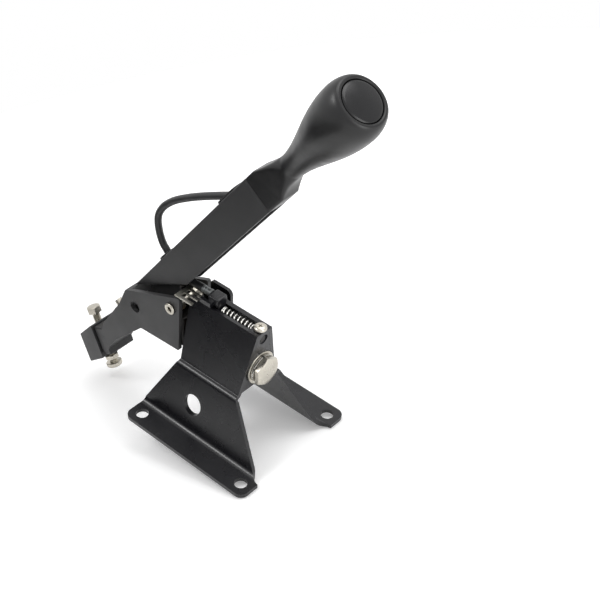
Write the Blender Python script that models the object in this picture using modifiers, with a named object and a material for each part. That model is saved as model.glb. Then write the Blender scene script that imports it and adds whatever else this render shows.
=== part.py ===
# Short shifter: a folded base bracket with a hand lever, a push-button latch and a linkage clamp.
# Metres, +Z up. The origin is the centre of the four mounting holes on the underside of the feet.
# X runs along the pivot bolt, towards its head. The lever leans towards +X and swings about X.

import math

import bmesh
import bpy
from mathutils import Matrix, Vector

# Base bracket
SHEET = 0.003
HOLE_PITCH_X = 0.094
HOLE_PITCH_Y = 0.088
MOUNT_HOLE_RADIUS = 0.0045
FOOT_MARGIN = 0.009
FOOT_CORNER_RADIUS = 0.006
FOOT_BEND_HALF_WIDTH = 0.0337
LEG_BOTTOM_REAR = -0.055
LEG_BOTTOM_FRONT = 0.0466
HOUSING_BOTTOM_HEIGHT = 0.046
HOUSING_TOP_HEIGHT = 0.0943
HOUSING_BOTTOM_HALF_WIDTH = 0.0195
HOUSING_TOP_HALF_WIDTH = 0.0070
HOUSING_REAR = -0.0335
HOUSING_FRONT_BOTTOM = 0.020
HOUSING_FRONT_TOP = 0.026
FOOT_BEND_RADIUS = 0.005
WAIST_BEND_RADIUS = 0.012
LIGHTENING_HOLE_RADIUS = 0.0075
LIGHTENING_HOLE_X = -0.0132
LIGHTENING_HOLE_HEIGHT = 0.0225
TAB_REAR = 0.0175
LIP_DEPTH = 0.010

# Pivot
AXIS_HEIGHT = 0.062
BOLT_RADIUS = 0.006
BOLT_HEAD_FLATS = 0.019
BOLT_HEAD_THICKNESS = 0.0045
FLAT_WASHER_RADIUS = 0.012
FLAT_WASHER_THICKNESS = 0.0014
SPRING_WASHER_RADIUS = 0.0105
SPRING_WASHER_THICKNESS = 0.0018
BUSH_WALL = 0.0017
BUSH_FLANGE_RADIUS = 0.010
BUSH_FLANGE_THICKNESS = 0.0015
HUB_LENGTH = 0.026
HUB_HEIGHT = 0.024
NUT_THICKNESS = 0.009
SEAT_GAP = 0.0003
RUNNING_GAP = 0.0003
MOVING_GAP = 0.0015

# Lever bracket, an upright channel behind the housing with a leg down to the linkage
BRACKET_HALF_WIDTH = 0.015
BRACKET_WALL = 0.003
BRACKET_TOP_REAR = (-0.090, 0.0725)
BRACKET_TOP_RISE = 0.0007
BRACKET_BOTTOM_FRONT = (-0.0385, 0.048)
BRACKET_CROTCH = (-0.076, 0.046)
LEG_BEND = (-0.0975, 0.056)
LEG_END_TOP = (-0.117, 0.0264)
LEG_END_MIDDLE = (-0.1223, 0.0128)
LEG_END_BOTTOM = (-0.110, 0.0121)
OPEN_HOLE_PLACE = (-0.0808, 0.0624)
OPEN_HOLE_RADIUS = 0.0045

# Arm
ARM_LEAN = math.radians(37.2)
ARM_FOOT_DROP = 0.0131
ARM_FOOT = (-0.0674, HOUSING_TOP_HEIGHT - ARM_FOOT_DROP)
ARM_DEPTH = 0.024
ARM_HALF_WIDTH = 0.0075
ARM_WALL = 0.0020
ARM_REAR_START = -0.0185
ARM_FRONT_START = 0.0345
PLATE_THICKNESS = 0.0016
PLATE_REACH = 0.060
RIVET_DROP = 0.0124
RIVET_PLACE = (-0.0448, HOUSING_TOP_HEIGHT - RIVET_DROP)
RIVET_RADIUS = 0.003
RIVET_BORE_RADIUS = 0.0017
RIVET_RIM_RADIUS = 0.0043
RIVET_RIM_THICKNESS = 0.0012

# Handle and button, measured along the arm
HANDLE_START = 0.151
HANDLE_COLLAR_END = 0.163
HANDLE_COLLAR_TILT = 0.30
HANDLE_TENON = 0.0045
CABLE_START = 0.1515
HANDLE_NECK_PLACE = 0.183
HANDLE_NECK_RADIUS = 0.0079
HANDLE_END = 0.2565
KNOB_DROP = 0.0125
KNOB_PLACE = HANDLE_END - KNOB_DROP
KNOB_RADIUS = 0.0186
KNOB_RIM_RADIUS = 0.0148
BUTTON_RADIUS = 0.0124
BUTTON_THICKNESS = 0.0062
BUTTON_CROWN = 0.0012
BUTTON_TRAVEL = 0.004
BUTTON_STEM_RADIUS = 0.004
BUTTON_STEM_LENGTH = 0.022
BUTTON_SPRING_LENGTH = 0.0080
PUSH_ROD_RADIUS = 0.0015

# Latch
LATCH_REAR = -0.020
LATCH_LENGTH = 0.009
LATCH_HALF_WIDTH = 0.0045
LATCH_RISE = 0.0069
KEEL_DEPTH = 0.009
NOSE_LENGTH = 0.0045
NOSE_WIDTH = 0.0026
NOSE_PLACE = -0.0064
NOSE_HEIGHT = 0.0034
GUIDE_ROD_RADIUS = 0.0017
SPRING_RADIUS = 0.0035
SPRING_WIRE_RADIUS = 0.00055
SPRING_TURNS = 10
SPRING_DEPTH = 0.0038
COMB_THICKNESS = 0.0012
COMB_RISE = 0.00105
COMB_NEAR_EDGE = -0.0150
COMB_FAR_EDGE = 0.0010
COMB_REAR = -0.0405
SLOT_WIDTH = 0.0032
SLOT_PITCH = 0.0046
SLOT_DEPTH = 0.0120
CABLE_RADIUS = 0.0025
FERRULE_RADIUS = 0.0027
FERRULE_LENGTH = 0.008
CABLE_RISE = 0.0054
STOP_SCREW_RADIUS = 0.0024
STOP_SCREW_DEPTH = 0.0068
TAB_SCREW_PLACE = 0.0222
TAB_SCREW_HEAD_RADIUS = 0.0044
TAB_SCREW_HEAD_THICKNESS = 0.0028
TAB_SCREW_RADIUS = 0.0024
GUIDE_PLATE_THICKNESS = 0.0025
GUIDE_PLATE_RISE = 0.0029
GUIDE_PLATE_DEPTH = 0.014
GUIDE_PLATE_REAR = -0.0330
GUIDE_PLATE_FRONT = -0.0146
GUIDE_SCREW_RADIUS = 0.0015
GUIDE_SCREW_HEAD_RADIUS = 0.0028
GUIDE_SCREW_HEAD = 0.0018

# Linkage clamp, in a frame whose local Z points up along the clamp bolt
CLAMP_CORNER = (-0.1345, 0.0123)
CLAMP_LEAN = math.radians(-23.5)
CLAMP_HALF_WIDTH = 0.0135
CLAMP_FACE_HEIGHT = 0.028
CLAMP_DEPTH = 0.019
CLAMP_TOP_SLOPE = 0.0095
CLAMP_BOTTOM_SLOPE = 0.0055
LUG_DEPTH = 0.010
LUG_DROP = 0.025
STUD_RADIUS = 0.003
CLAMP_BOLT_RADIUS = 0.003
CLAMP_BOLT_FLATS = 0.010
CLAMP_BOLT_HEAD = 0.0055
CLAMP_BOLT_STANDOFF = 0.008
CLAMP_SCREW_HEAD_RADIUS = 0.0063
CLAMP_SCREW_HEAD = 0.0048
CLAMP_SCREW_DROP = 0.0085

ROUND = 32
SMALL_ROUND = 20

# Heights that go with the housing's top
latch_top = HOUSING_TOP_HEIGHT + LATCH_RISE
spring_height = HOUSING_TOP_HEIGHT - SPRING_DEPTH
comb_height = HOUSING_TOP_HEIGHT + COMB_RISE
cable_height = HOUSING_TOP_HEIGHT + CABLE_RISE
stop_screw_height = HOUSING_TOP_HEIGHT - STOP_SCREW_DEPTH
guide_plate_top = HOUSING_TOP_HEIGHT + GUIDE_PLATE_RISE
guide_plate_low = HOUSING_TOP_HEIGHT - GUIDE_PLATE_DEPTH
cross_reach = 2.0 * BRACKET_HALF_WIDTH


for old_object in list(bpy.data.objects):
    bpy.data.objects.remove(old_object, do_unlink=True)

scene = bpy.context.scene
part_collection = bpy.data.collections.new("short_shifter")
cutter_collection = bpy.data.collections.new("cutters")
scene.collection.children.link(part_collection)
scene.collection.children.link(cutter_collection)


def material(name, colour, roughness, metallic):
    result = bpy.data.materials.new(name)
    result.use_nodes = True
    shader = result.node_tree.nodes["Principled BSDF"]
    shader.inputs["Base Color"].default_value = (*colour, 1.0)
    shader.inputs["Roughness"].default_value = roughness
    shader.inputs["Metallic"].default_value = metallic
    result.diffuse_color = (*colour, 1.0)
    return result


black_paint = material("black_powder_coat", (0.022, 0.022, 0.026), 0.38, 0.0)
dark_steel = material("dark_steel", (0.05, 0.05, 0.05), 0.4, 0.9)
zinc = material("zinc_plate", (0.60, 0.58, 0.54), 0.28, 1.0)
spring_steel = material("spring_steel", (0.66, 0.65, 0.62), 0.22, 1.0)
moulded_black = material("satin_moulding", (0.018, 0.018, 0.019), 0.42, 0.0)
button_black = material("button_moulding", (0.014, 0.014, 0.015), 0.30, 0.0)
cable_black = material("cable_sheath", (0.020, 0.020, 0.021), 0.45, 0.0)
bronze = material("bearing_bronze", (0.36, 0.24, 0.11), 0.35, 1.0)


def empty(name, location, rotation_y=0.0, parent=None):
    marker = bpy.data.objects.new(name, None)
    marker.empty_display_size = 0.02
    marker.location = location
    marker.rotation_euler = (0.0, rotation_y, 0.0)
    marker.parent = parent
    part_collection.objects.link(marker)
    return marker


# Moving groups, each with an empty on its joint's axis
lever_pivot = empty("lever_pivot", (0.0, 0.0, AXIS_HEIGHT))
arm_frame = empty("arm_frame", (ARM_FOOT[0], 0.0, ARM_FOOT[1] - AXIS_HEIGHT), ARM_LEAN, lever_pivot)
button_frame = empty("button_frame", (0.0, 0.0, HANDLE_END), 0.0, arm_frame)
latch_frame = empty("latch_frame", (LATCH_REAR, 0.0, HOUSING_TOP_HEIGHT))
clamp_frame = empty("clamp_frame", (CLAMP_CORNER[0], 0.0, CLAMP_CORNER[1] - AXIS_HEIGHT), CLAMP_LEAN,
                    lever_pivot)
LEVER_ORIGIN = Vector((0.0, 0.0, AXIS_HEIGHT))


def place(thing, parent, look, smooth):
    thing.parent = parent
    if look is None:
        cutter_collection.objects.link(thing)
        thing.display_type = "WIRE"
        thing.hide_render = True
        thing.hide_viewport = False
        return thing
    part_collection.objects.link(thing)
    thing.data.materials.append(look)
    if smooth:
        thing.data.shade_smooth()
        thing.data.set_sharp_from_angle(angle=math.radians(35.0))
    return thing


def from_bmesh(name, shape, parent, look, smooth=True):
    bmesh.ops.recalc_face_normals(shape, faces=shape.faces)
    mesh = bpy.data.meshes.new(name)
    shape.to_mesh(mesh)
    shape.free()
    return place(bpy.data.objects.new(name, mesh), parent, look, smooth)


def rod(name, start, end, radius, parent, look, segments=ROUND, far_radius=None):
    """A round bar, or a cone with far_radius, from start to end."""
    start = Vector(start)
    end = Vector(end)
    along = end - start
    shape = bmesh.new()
    top = radius if far_radius is None else far_radius
    turn = Vector((0.0, 0.0, 1.0)).rotation_difference(along.normalized()).to_matrix().to_4x4()
    where = Matrix.Translation((start + end) / 2.0) @ turn
    bmesh.ops.create_cone(shape, cap_ends=True, segments=segments, radius1=radius, radius2=top,
                          depth=along.length, matrix=where)
    return from_bmesh(name, shape, parent, look)


def block(name, low, high, parent, look, edge=0.0):
    """A box between two corners, with its edges rounded by edge."""
    low = Vector(low)
    high = Vector(high)
    shape = bmesh.new()
    bmesh.ops.create_cube(shape, size=1.0)
    bmesh.ops.scale(shape, vec=high - low, verts=shape.verts)
    bmesh.ops.translate(shape, vec=(low + high) / 2.0, verts=shape.verts)
    thing = from_bmesh(name, shape, parent, look, smooth=False)
    if edge > 0.0:
        round_edges(thing, edge)
    return thing


def round_edges(thing, width, segments=2):
    bevel = thing.modifiers.new("rounded_edges", "BEVEL")
    bevel.width = width
    bevel.segments = segments
    bevel.limit_method = "ANGLE"
    bevel.angle_limit = math.radians(40.0)
    return bevel


def rounded(points, radii, steps=6):
    """A closed outline whose corners are arcs. A radius of zero keeps the corner sharp."""
    outline = []
    count = len(points)
    for index in range(count):
        corner = Vector(points[index])
        radius = radii[index]
        if radius <= 0.0:
            outline.append(corner)
            continue
        before = (Vector(points[index - 1]) - corner).normalized()
        after = (Vector(points[(index + 1) % count]) - corner).normalized()
        half_angle = before.angle(after) / 2.0
        reach = radius / math.tan(half_angle)
        centre = corner + (before + after).normalized() * (radius / math.sin(half_angle))
        first = corner + before * reach - centre
        last = corner + after * reach - centre
        sweep = first.angle_signed(last)
        for step in range(steps + 1):
            turn = Matrix.Rotation(-sweep * step / steps, 2)
            outline.append(centre + turn @ first)
    return outline


def slab(name, outline, low, high, parent, look, smooth=False):
    """A flat outline in X and Z, drawn as a filled 2D curve and extruded along Y from low to high."""
    curve = bpy.data.curves.new(name, "CURVE")
    curve.dimensions = "2D"
    curve.fill_mode = "BOTH"
    curve.extrude = (high - low) / 2.0
    spline = curve.splines.new("POLY")
    spline.points.add(len(outline) - 1)
    for point, (across, up) in zip(spline.points, outline):
        point.co = (across, up, 0.0, 1.0)
    spline.use_cyclic_u = True
    drawing = bpy.data.objects.new(name + "_outline", curve)
    scene.collection.objects.link(drawing)
    bpy.context.view_layer.update()
    graph = bpy.context.evaluated_depsgraph_get()
    mesh = bpy.data.meshes.new_from_object(drawing.evaluated_get(graph))
    bpy.data.objects.remove(drawing, do_unlink=True)
    shape = bmesh.new()
    shape.from_mesh(mesh)
    bpy.data.meshes.remove(mesh)
    bmesh.ops.remove_doubles(shape, verts=shape.verts, dist=0.000001)
    stand_up = Matrix.Translation((0.0, (low + high) / 2.0, 0.0)) @ Matrix.Rotation(math.pi / 2.0, 4, "X")
    bmesh.ops.transform(shape, matrix=stand_up, verts=shape.verts)
    return from_bmesh(name, shape, parent, look, smooth)


def turned(name, profile, parent, look, segments=ROUND, axis="Z", where=(0.0, 0.0, 0.0)):
    """A turned piece: its profile of radius and height runs down the outer side."""
    mesh = bpy.data.meshes.new(name)
    points = [(radius, 0.0, height) for radius, height in profile]
    edges = [(index, index + 1) for index in range(len(points) - 1)]
    if profile[0][0] > 0.0:
        edges.append((len(points) - 1, 0))
    mesh.from_pydata(points, edges, [])
    thing = place(bpy.data.objects.new(name, mesh), parent, look, False)
    screw = thing.modifiers.new("turned", "SCREW")
    screw.axis = "Z"
    screw.steps = segments
    screw.render_steps = segments
    screw.use_merge_vertices = True
    screw.merge_threshold = 0.000002
    screw.use_smooth_shade = True
    thing.location = where
    if axis == "X":
        thing.rotation_euler = (0.0, math.pi / 2.0, 0.0)
    if axis == "Y":
        thing.rotation_euler = (-math.pi / 2.0, 0.0, 0.0)
    return thing


def tube(name, points, radius, parent, look, sides=2, closed_ends=True):
    """A round wire along points."""
    curve = bpy.data.curves.new(name, "CURVE")
    curve.dimensions = "3D"
    curve.bevel_depth = radius
    curve.bevel_resolution = sides
    curve.use_fill_caps = closed_ends
    spline = curve.splines.new("POLY")
    spline.points.add(len(points) - 1)
    for point, position in zip(spline.points, points):
        point.co = (*position, 1.0)
    thing = bpy.data.objects.new(name, curve)
    thing.parent = parent
    part_collection.objects.link(thing)
    curve.materials.append(look)
    return thing


def boolean(target, other, operation):
    change = target.modifiers.new(operation.lower(), "BOOLEAN")
    change.operation = operation
    change.object = other
    change.solver = "EXACT"
    return change


def cut(target, other):
    return boolean(target, other, "DIFFERENCE")


def join(target, other):
    return boolean(target, other, "UNION")


def between(low, high, share):
    return low + (high - low) * share


def hex_prism(name, across_flats, start, end, parent, look, chamfer=0.0006):
    """A hexagon bar from start to end, with chamfered corners."""
    thing = rod(name, start, end, across_flats / math.sqrt(3.0), parent, look, segments=6)
    for polygon in thing.data.polygons:
        polygon.use_smooth = False
    round_edges(thing, chamfer, segments=1)
    return thing


# Base bracket: feet, flared legs and housing sides from one sheet, closed by a front and a rear plate

def housing_half_width(height):
    share = (height - HOUSING_BOTTOM_HEIGHT) / (HOUSING_TOP_HEIGHT - HOUSING_BOTTOM_HEIGHT)
    return between(HOUSING_BOTTOM_HALF_WIDTH, HOUSING_TOP_HALF_WIDTH, share)


def housing_front(height):
    share = (height - HOUSING_BOTTOM_HEIGHT) / (HOUSING_TOP_HEIGHT - HOUSING_BOTTOM_HEIGHT)
    return between(HOUSING_FRONT_BOTTOM, HOUSING_FRONT_TOP, share)


def bend(corner, before, after, radius, steps=6):
    """Points of a folded bend at corner, between two directions."""
    half_angle = before.angle(after) / 2.0
    reach = radius / math.tan(half_angle)
    centre = corner + (before + after).normalized() * (radius / math.sin(half_angle))
    first = corner + before * reach - centre
    last = corner + after * reach - centre
    sweep = first.angle_signed(last)
    return [centre + Matrix.Rotation(-sweep * step / steps, 2) @ first for step in range(steps + 1)]


foot_half_length = HOLE_PITCH_X / 2.0 + FOOT_MARGIN
foot_outer = HOLE_PITCH_Y / 2.0 + FOOT_MARGIN
foot_edge = Vector((foot_outer, SHEET))
foot_fold = Vector((FOOT_BEND_HALF_WIDTH, SHEET))
waist_fold = Vector((HOUSING_BOTTOM_HALF_WIDTH, HOUSING_BOTTOM_HEIGHT))
top_edge = Vector((HOUSING_TOP_HALF_WIDTH, HOUSING_TOP_HEIGHT))
foot_bend = bend(foot_fold, (foot_edge - foot_fold).normalized(), (waist_fold - foot_fold).normalized(),
                 FOOT_BEND_RADIUS)
waist_bend = bend(waist_fold, (foot_fold - waist_fold).normalized(), (top_edge - waist_fold).normalized(),
                  WAIST_BEND_RADIUS)


def sheet_rows():
    """Rows across the sheet, each with its rear end, its front end, its half width and its height."""
    rows = []
    corner_steps = 5
    for step in range(corner_steps + 1):
        inset = FOOT_CORNER_RADIUS * (1.0 - math.sin(math.pi / 2.0 * step / corner_steps))
        depth = FOOT_CORNER_RADIUS * (1.0 - math.cos(math.pi / 2.0 * step / corner_steps))
        half = foot_half_length - inset
        rows.append((-half, half, foot_outer - depth, SHEET))
    for index, point in enumerate(foot_bend):
        share = index / (len(foot_bend) - 1)
        front = between(foot_half_length, LEG_BOTTOM_FRONT, share ** 0.5)
        rear = between(-foot_half_length, LEG_BOTTOM_REAR, share)
        rows.append((rear, front, point.x, point.y))
    for index, point in enumerate(waist_bend):
        share = (point.y - foot_bend[-1].y) / (waist_fold.y - foot_bend[-1].y)
        share = min(share, 1.0)
        front = between(LEG_BOTTOM_FRONT, HOUSING_FRONT_BOTTOM, share)
        rear = between(LEG_BOTTOM_REAR, HOUSING_REAR, share)
        if point.y >= waist_fold.y:
            front = housing_front(point.y)
            rear = HOUSING_REAR
        rows.append((rear, front, point.x, point.y))
    rows.append((HOUSING_REAR, HOUSING_FRONT_TOP, HOUSING_TOP_HALF_WIDTH, HOUSING_TOP_HEIGHT))
    return rows


def make_base_bracket():
    shape = bmesh.new()
    previous = None
    for rear, front, half_width, height in sheet_rows():
        current = [shape.verts.new((rear, -half_width, height)), shape.verts.new((front, -half_width,
                                                                                  height))]
        if previous:
            shape.faces.new((previous[0], previous[1], current[1], current[0]))
        previous = current
    mesh = bpy.data.meshes.new("base_bracket")
    shape.to_mesh(mesh)
    shape.free()
    bracket = place(bpy.data.objects.new("base_bracket", mesh), None, black_paint, False)
    mirror = bracket.modifiers.new("far_side", "MIRROR")
    mirror.use_axis = (False, True, False)
    mirror.merge_threshold = 0.000001
    thickness = bracket.modifiers.new("sheet", "SOLIDIFY")
    thickness.thickness = SHEET
    thickness.offset = -1.0
    thickness.use_even_offset = True

    grip = SHEET / 2.0
    front_tilt = math.atan2(HOUSING_FRONT_TOP - HOUSING_FRONT_BOTTOM,
                            HOUSING_TOP_HEIGHT - HOUSING_BOTTOM_HEIGHT)
    low = HOUSING_BOTTOM_HEIGHT
    high = HOUSING_TOP_HEIGHT
    front_side = [(housing_front(low) - SHEET, low), (housing_front(low), low), (housing_front(high), high),
                  (TAB_REAR, high), (TAB_REAR, high - LIP_DEPTH), (TAB_REAR + SHEET * 0.7, high - LIP_DEPTH),
                  (TAB_REAR + SHEET * 0.7, high - SHEET), (housing_front(high) - SHEET, high - SHEET)]
    front = slab("front_plate", front_side, -HOUSING_BOTTOM_HALF_WIDTH, HOUSING_BOTTOM_HALF_WIDTH, None, None)
    rear_side = [(HOUSING_REAR, low), (HOUSING_REAR + SHEET, low), (HOUSING_REAR + SHEET, high - 2.0 * SHEET),
                 (HOUSING_REAR, high - 2.0 * SHEET)]
    rear = slab("rear_plate", rear_side, -HOUSING_BOTTOM_HALF_WIDTH, HOUSING_BOTTOM_HALF_WIDTH, None, None)
    inside = [(-housing_half_width(low) + grip, low - SHEET), (housing_half_width(low) - grip, low - SHEET),
              (housing_half_width(high) - grip, high), (-housing_half_width(high) + grip, high)]
    shape = bmesh.new()
    ring = [shape.verts.new((-1.0, across, up)) for across, up in inside]
    face = shape.faces.new(ring)
    grown = bmesh.ops.extrude_face_region(shape, geom=[face])
    bmesh.ops.translate(shape, vec=(2.0, 0.0, 0.0),
                        verts=[part for part in grown["geom"] if isinstance(part, bmesh.types.BMVert)])
    envelope = from_bmesh("plate_envelope", shape, None, None)
    for plate in (front, rear):
        boolean(plate, envelope, "INTERSECT")
        join(bracket, plate)

    for side in (-1.0, 1.0):
        for end in (-1.0, 1.0):
            centre = Vector((end * HOLE_PITCH_X / 2.0, side * HOLE_PITCH_Y / 2.0, 0.0))
            cut(bracket, rod("mount_hole_cutter", centre - Vector((0.0, 0.0, SHEET)),
                             centre + Vector((0.0, 0.0, 3.0 * SHEET)), MOUNT_HOLE_RADIUS, None, None))
    lightening = rod("lightening_cutter", (LIGHTENING_HOLE_X, -foot_outer, LIGHTENING_HOLE_HEIGHT),
                     (LIGHTENING_HOLE_X, foot_outer, LIGHTENING_HOLE_HEIGHT), LIGHTENING_HOLE_RADIUS, None,
                     None)
    cut(bracket, lightening)
    bore = BOLT_RADIUS + RUNNING_GAP + BUSH_WALL + SEAT_GAP
    cut(bracket, rod("axis_cutter", (HOUSING_REAR - SHEET, 0.0, AXIS_HEIGHT),
                     (HOUSING_FRONT_TOP + SHEET, 0.0, AXIS_HEIGHT), bore, None, None))
    cut(bracket, rod("seat_cutter", (housing_front(AXIS_HEIGHT), 0.0, AXIS_HEIGHT),
                     (HOUSING_FRONT_TOP + SHEET, 0.0, AXIS_HEIGHT), FLAT_WASHER_RADIUS + SEAT_GAP, None,
                     None))
    cut(bracket, rod("stop_cutter", (TAB_REAR + SHEET * 0.9, 0.0, stop_screw_height),
                     (HOUSING_FRONT_TOP + SHEET, 0.0, stop_screw_height), STOP_SCREW_RADIUS + SEAT_GAP,
                     None, None,
                     segments=SMALL_ROUND))
    cut(bracket, rod("tab_cutter", (TAB_SCREW_PLACE, 0.0, HOUSING_TOP_HEIGHT - 1.5 * SHEET),
                     (TAB_SCREW_PLACE, 0.0, HOUSING_TOP_HEIGHT + SHEET), TAB_SCREW_RADIUS + SEAT_GAP, None,
                     None,
                     segments=SMALL_ROUND))
    return bracket


base_bracket = make_base_bracket()


# Pivot bolt with its washers, bushes, hub and nut

front_seat = housing_front(AXIS_HEIGHT)
washer_face = front_seat + SEAT_GAP
spring_washer_face = washer_face + FLAT_WASHER_THICKNESS + SEAT_GAP
head_face = spring_washer_face + SPRING_WASHER_THICKNESS + SEAT_GAP
head_end = head_face + BOLT_HEAD_THICKNESS
hub_front = HOUSING_REAR - BUSH_FLANGE_THICKNESS - SEAT_GAP - MOVING_GAP
hub_rear = hub_front - HUB_LENGTH
nut_front = hub_rear - RUNNING_GAP
nut_rear = nut_front - NUT_THICKNESS
bolt_end = nut_rear - 0.0012


def ring(name, radius, bore, low, high, look, parent=None, height=AXIS_HEIGHT):
    """A flat ring about the pivot axis, from low to high along X."""
    profile = [(radius, high - low), (radius, 0.0), (bore, 0.0), (bore, high - low)]
    return turned(name, profile, parent, look, axis="X", where=(low, 0.0, height))


def make_pivot():
    head = hex_prism("pivot_bolt", BOLT_HEAD_FLATS, (head_face, 0.0, AXIS_HEIGHT), (head_end, 0.0,
                                                                                    AXIS_HEIGHT),
                     None, dark_steel, chamfer=0.0009)
    head.data.materials[0] = zinc
    shank = rod("bolt_shank", (bolt_end, 0.0, AXIS_HEIGHT), (head_face + 0.001, 0.0, AXIS_HEIGHT),
                BOLT_RADIUS,
                None, None)
    join(head, shank)
    ring("pivot_flat_washer", FLAT_WASHER_RADIUS, BOLT_RADIUS + RUNNING_GAP, washer_face,
         washer_face + FLAT_WASHER_THICKNESS, zinc)
    split = ring("pivot_spring_washer", SPRING_WASHER_RADIUS, BOLT_RADIUS + RUNNING_GAP, spring_washer_face,
                 spring_washer_face + SPRING_WASHER_THICKNESS, spring_steel)
    gap = block("split_cutter", (spring_washer_face - 0.002, -0.0006, AXIS_HEIGHT + BOLT_RADIUS * 0.5),
                (head_face + 0.002, 0.0006, AXIS_HEIGHT + SPRING_WASHER_RADIUS * 1.2), None, None)
    cut(split, gap)
    bore = BOLT_RADIUS + RUNNING_GAP
    sleeve = bore + BUSH_WALL
    # The front bush has its flange inside the housing, the rear bush has it outside
    inner = front_seat - SHEET - BUSH_FLANGE_THICKNESS - SEAT_GAP * 2.0 - 0.001
    flange = inner + BUSH_FLANGE_THICKNESS
    profile = [(sleeve, front_seat - inner - SEAT_GAP), (sleeve, flange - inner), (BUSH_FLANGE_RADIUS,
                                                                                   flange - inner),
               (BUSH_FLANGE_RADIUS, 0.0), (bore, 0.0), (bore, front_seat - inner - SEAT_GAP)]
    turned("front_bush", profile, None, bronze, axis="X", where=(inner, 0.0, AXIS_HEIGHT))
    outer = HOUSING_REAR - SEAT_GAP - BUSH_FLANGE_THICKNESS
    flange = BUSH_FLANGE_THICKNESS
    length = SHEET + SEAT_GAP * 2.0 + BUSH_FLANGE_THICKNESS + 0.001
    profile = [(sleeve, length), (sleeve, flange), (BUSH_FLANGE_RADIUS, flange), (BUSH_FLANGE_RADIUS, 0.0),
               (bore, 0.0), (bore, length)]
    turned("rear_bush", profile, None, bronze, axis="X", where=(outer, 0.0, AXIS_HEIGHT))
    nut = hex_prism("pivot_nut", BOLT_HEAD_FLATS * 0.95, (nut_rear, 0.0, AXIS_HEIGHT),
                    (nut_front, 0.0, AXIS_HEIGHT), None, zinc)
    cut(nut, rod("nut_cutter", (nut_rear - 0.002, 0.0, AXIS_HEIGHT), (nut_front + 0.002, 0.0, AXIS_HEIGHT),
                 BOLT_RADIUS + SEAT_GAP, None, None))


make_pivot()

inner_width = BRACKET_HALF_WIDTH - BRACKET_WALL - SEAT_GAP


def lever_point(across, up):
    """A place in the lever's own frame, whose origin is on the pivot axis."""
    return (across, up - AXIS_HEIGHT)


def make_hub():
    low = -HUB_HEIGHT / 2.0
    hub = block("pivot_hub", (hub_rear, -inner_width, low), (hub_front, inner_width, -low), lever_pivot,
                dark_steel, edge=0.0012)
    cut(hub, rod("hub_cutter", (hub_rear - 0.002, 0.0, 0.0), (hub_front + 0.002, 0.0, 0.0),
                 BOLT_RADIUS + RUNNING_GAP, lever_pivot, None))


make_hub()


# Lever bracket: a channel with two flanges and a web along its rear edge and down the leg

bracket_front = HOUSING_REAR - MOVING_GAP * 1.6
outline_places = [BRACKET_TOP_REAR, (bracket_front, HOUSING_TOP_HEIGHT + BRACKET_TOP_RISE),
                  BRACKET_BOTTOM_FRONT, BRACKET_CROTCH,
                  LEG_END_BOTTOM, LEG_END_MIDDLE, LEG_END_TOP, LEG_BEND]
outline_radii = [0.0015, 0.0015, 0.001, 0.004, 0.004, 0.003, 0.002, 0.006]


def make_lever_bracket():
    outline = rounded([lever_point(*place_) for place_ in outline_places], outline_radii, steps=4)
    bracket = slab("lever_bracket", outline, -BRACKET_HALF_WIDTH, BRACKET_HALF_WIDTH, lever_pivot,
                   black_paint)
    round_edges(bracket, 0.0008)
    # The cutter follows the rear edge at one wall inside it and runs out past every other edge
    rear = [Vector(lever_point(*LEG_END_TOP)), Vector(lever_point(*LEG_BEND)),
            Vector(lever_point(*BRACKET_TOP_REAR))]
    leg_along = (rear[1] - rear[0]).normalized()
    top_along = (rear[2] - rear[1]).normalized()
    leg_in = Vector((leg_along.y, -leg_along.x)) * BRACKET_WALL
    top_in = Vector((top_along.y, -top_along.x)) * BRACKET_WALL
    far = 3.4 * BRACKET_HALF_WIDTH
    points = [rear[0] + leg_in - leg_along * far, rear[1] + (leg_in + top_in) / 2.0,
              rear[2] + top_in + top_along * far,
              Vector((far, far * 2.0)), Vector((far, -far * 2.5)), Vector((-far * 1.6, -far * 2.5))]
    inside = slab("bracket_cutter", points, -(BRACKET_HALF_WIDTH - BRACKET_WALL),
                  BRACKET_HALF_WIDTH - BRACKET_WALL,
                  lever_pivot, None)
    cut(bracket, inside)
    across, up = lever_point(*OPEN_HOLE_PLACE)
    cut(bracket, rod("open_hole_cutter", (across, -cross_reach, up), (across, cross_reach, up),
                     OPEN_HOLE_RADIUS, lever_pivot,
                     None))
    across, up = lever_point(*RIVET_PLACE)
    cut(bracket, rod("rivet_hole_cutter", (across, -cross_reach, up), (across, cross_reach, up),
                     RIVET_RADIUS + SEAT_GAP,
                     lever_pivot, None))
    return bracket


lever_bracket = make_lever_bracket()


# Arm: a channel open towards the front, over two side plates that reach down to the rivet

arm_axis = Vector((math.sin(ARM_LEAN), 0.0, math.cos(ARM_LEAN)))
arm_across = Vector((math.cos(ARM_LEAN), 0.0, -math.sin(ARM_LEAN)))
arm_foot_point = Vector((ARM_FOOT[0], 0.0, ARM_FOOT[1]))
arm_end = HANDLE_START - SEAT_GAP


def along_arm(length, across=0.0, side=0.0):
    """A world place at a length along the arm's centre line."""
    return arm_foot_point + arm_axis * length + arm_across * across + Vector((0.0, side, 0.0))


def make_arm():
    half = ARM_DEPTH / 2.0
    outline = [(-half, ARM_REAR_START), (half, ARM_FRONT_START), (half, arm_end), (-half, arm_end)]
    arm = slab("lever_arm", outline, -ARM_HALF_WIDTH, ARM_HALF_WIDTH, arm_frame, black_paint)
    round_edges(arm, 0.0010)
    inside = [(-half + ARM_WALL, ARM_REAR_START - 0.02), (half + 0.01, ARM_REAR_START - 0.02),
              (half + 0.01, arm_end + 0.01), (-half + ARM_WALL, arm_end + 0.01)]
    cut(arm, slab("arm_cutter", inside, -(ARM_HALF_WIDTH - ARM_WALL), ARM_HALF_WIDTH - ARM_WALL, arm_frame,
                  None))
    return arm


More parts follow.
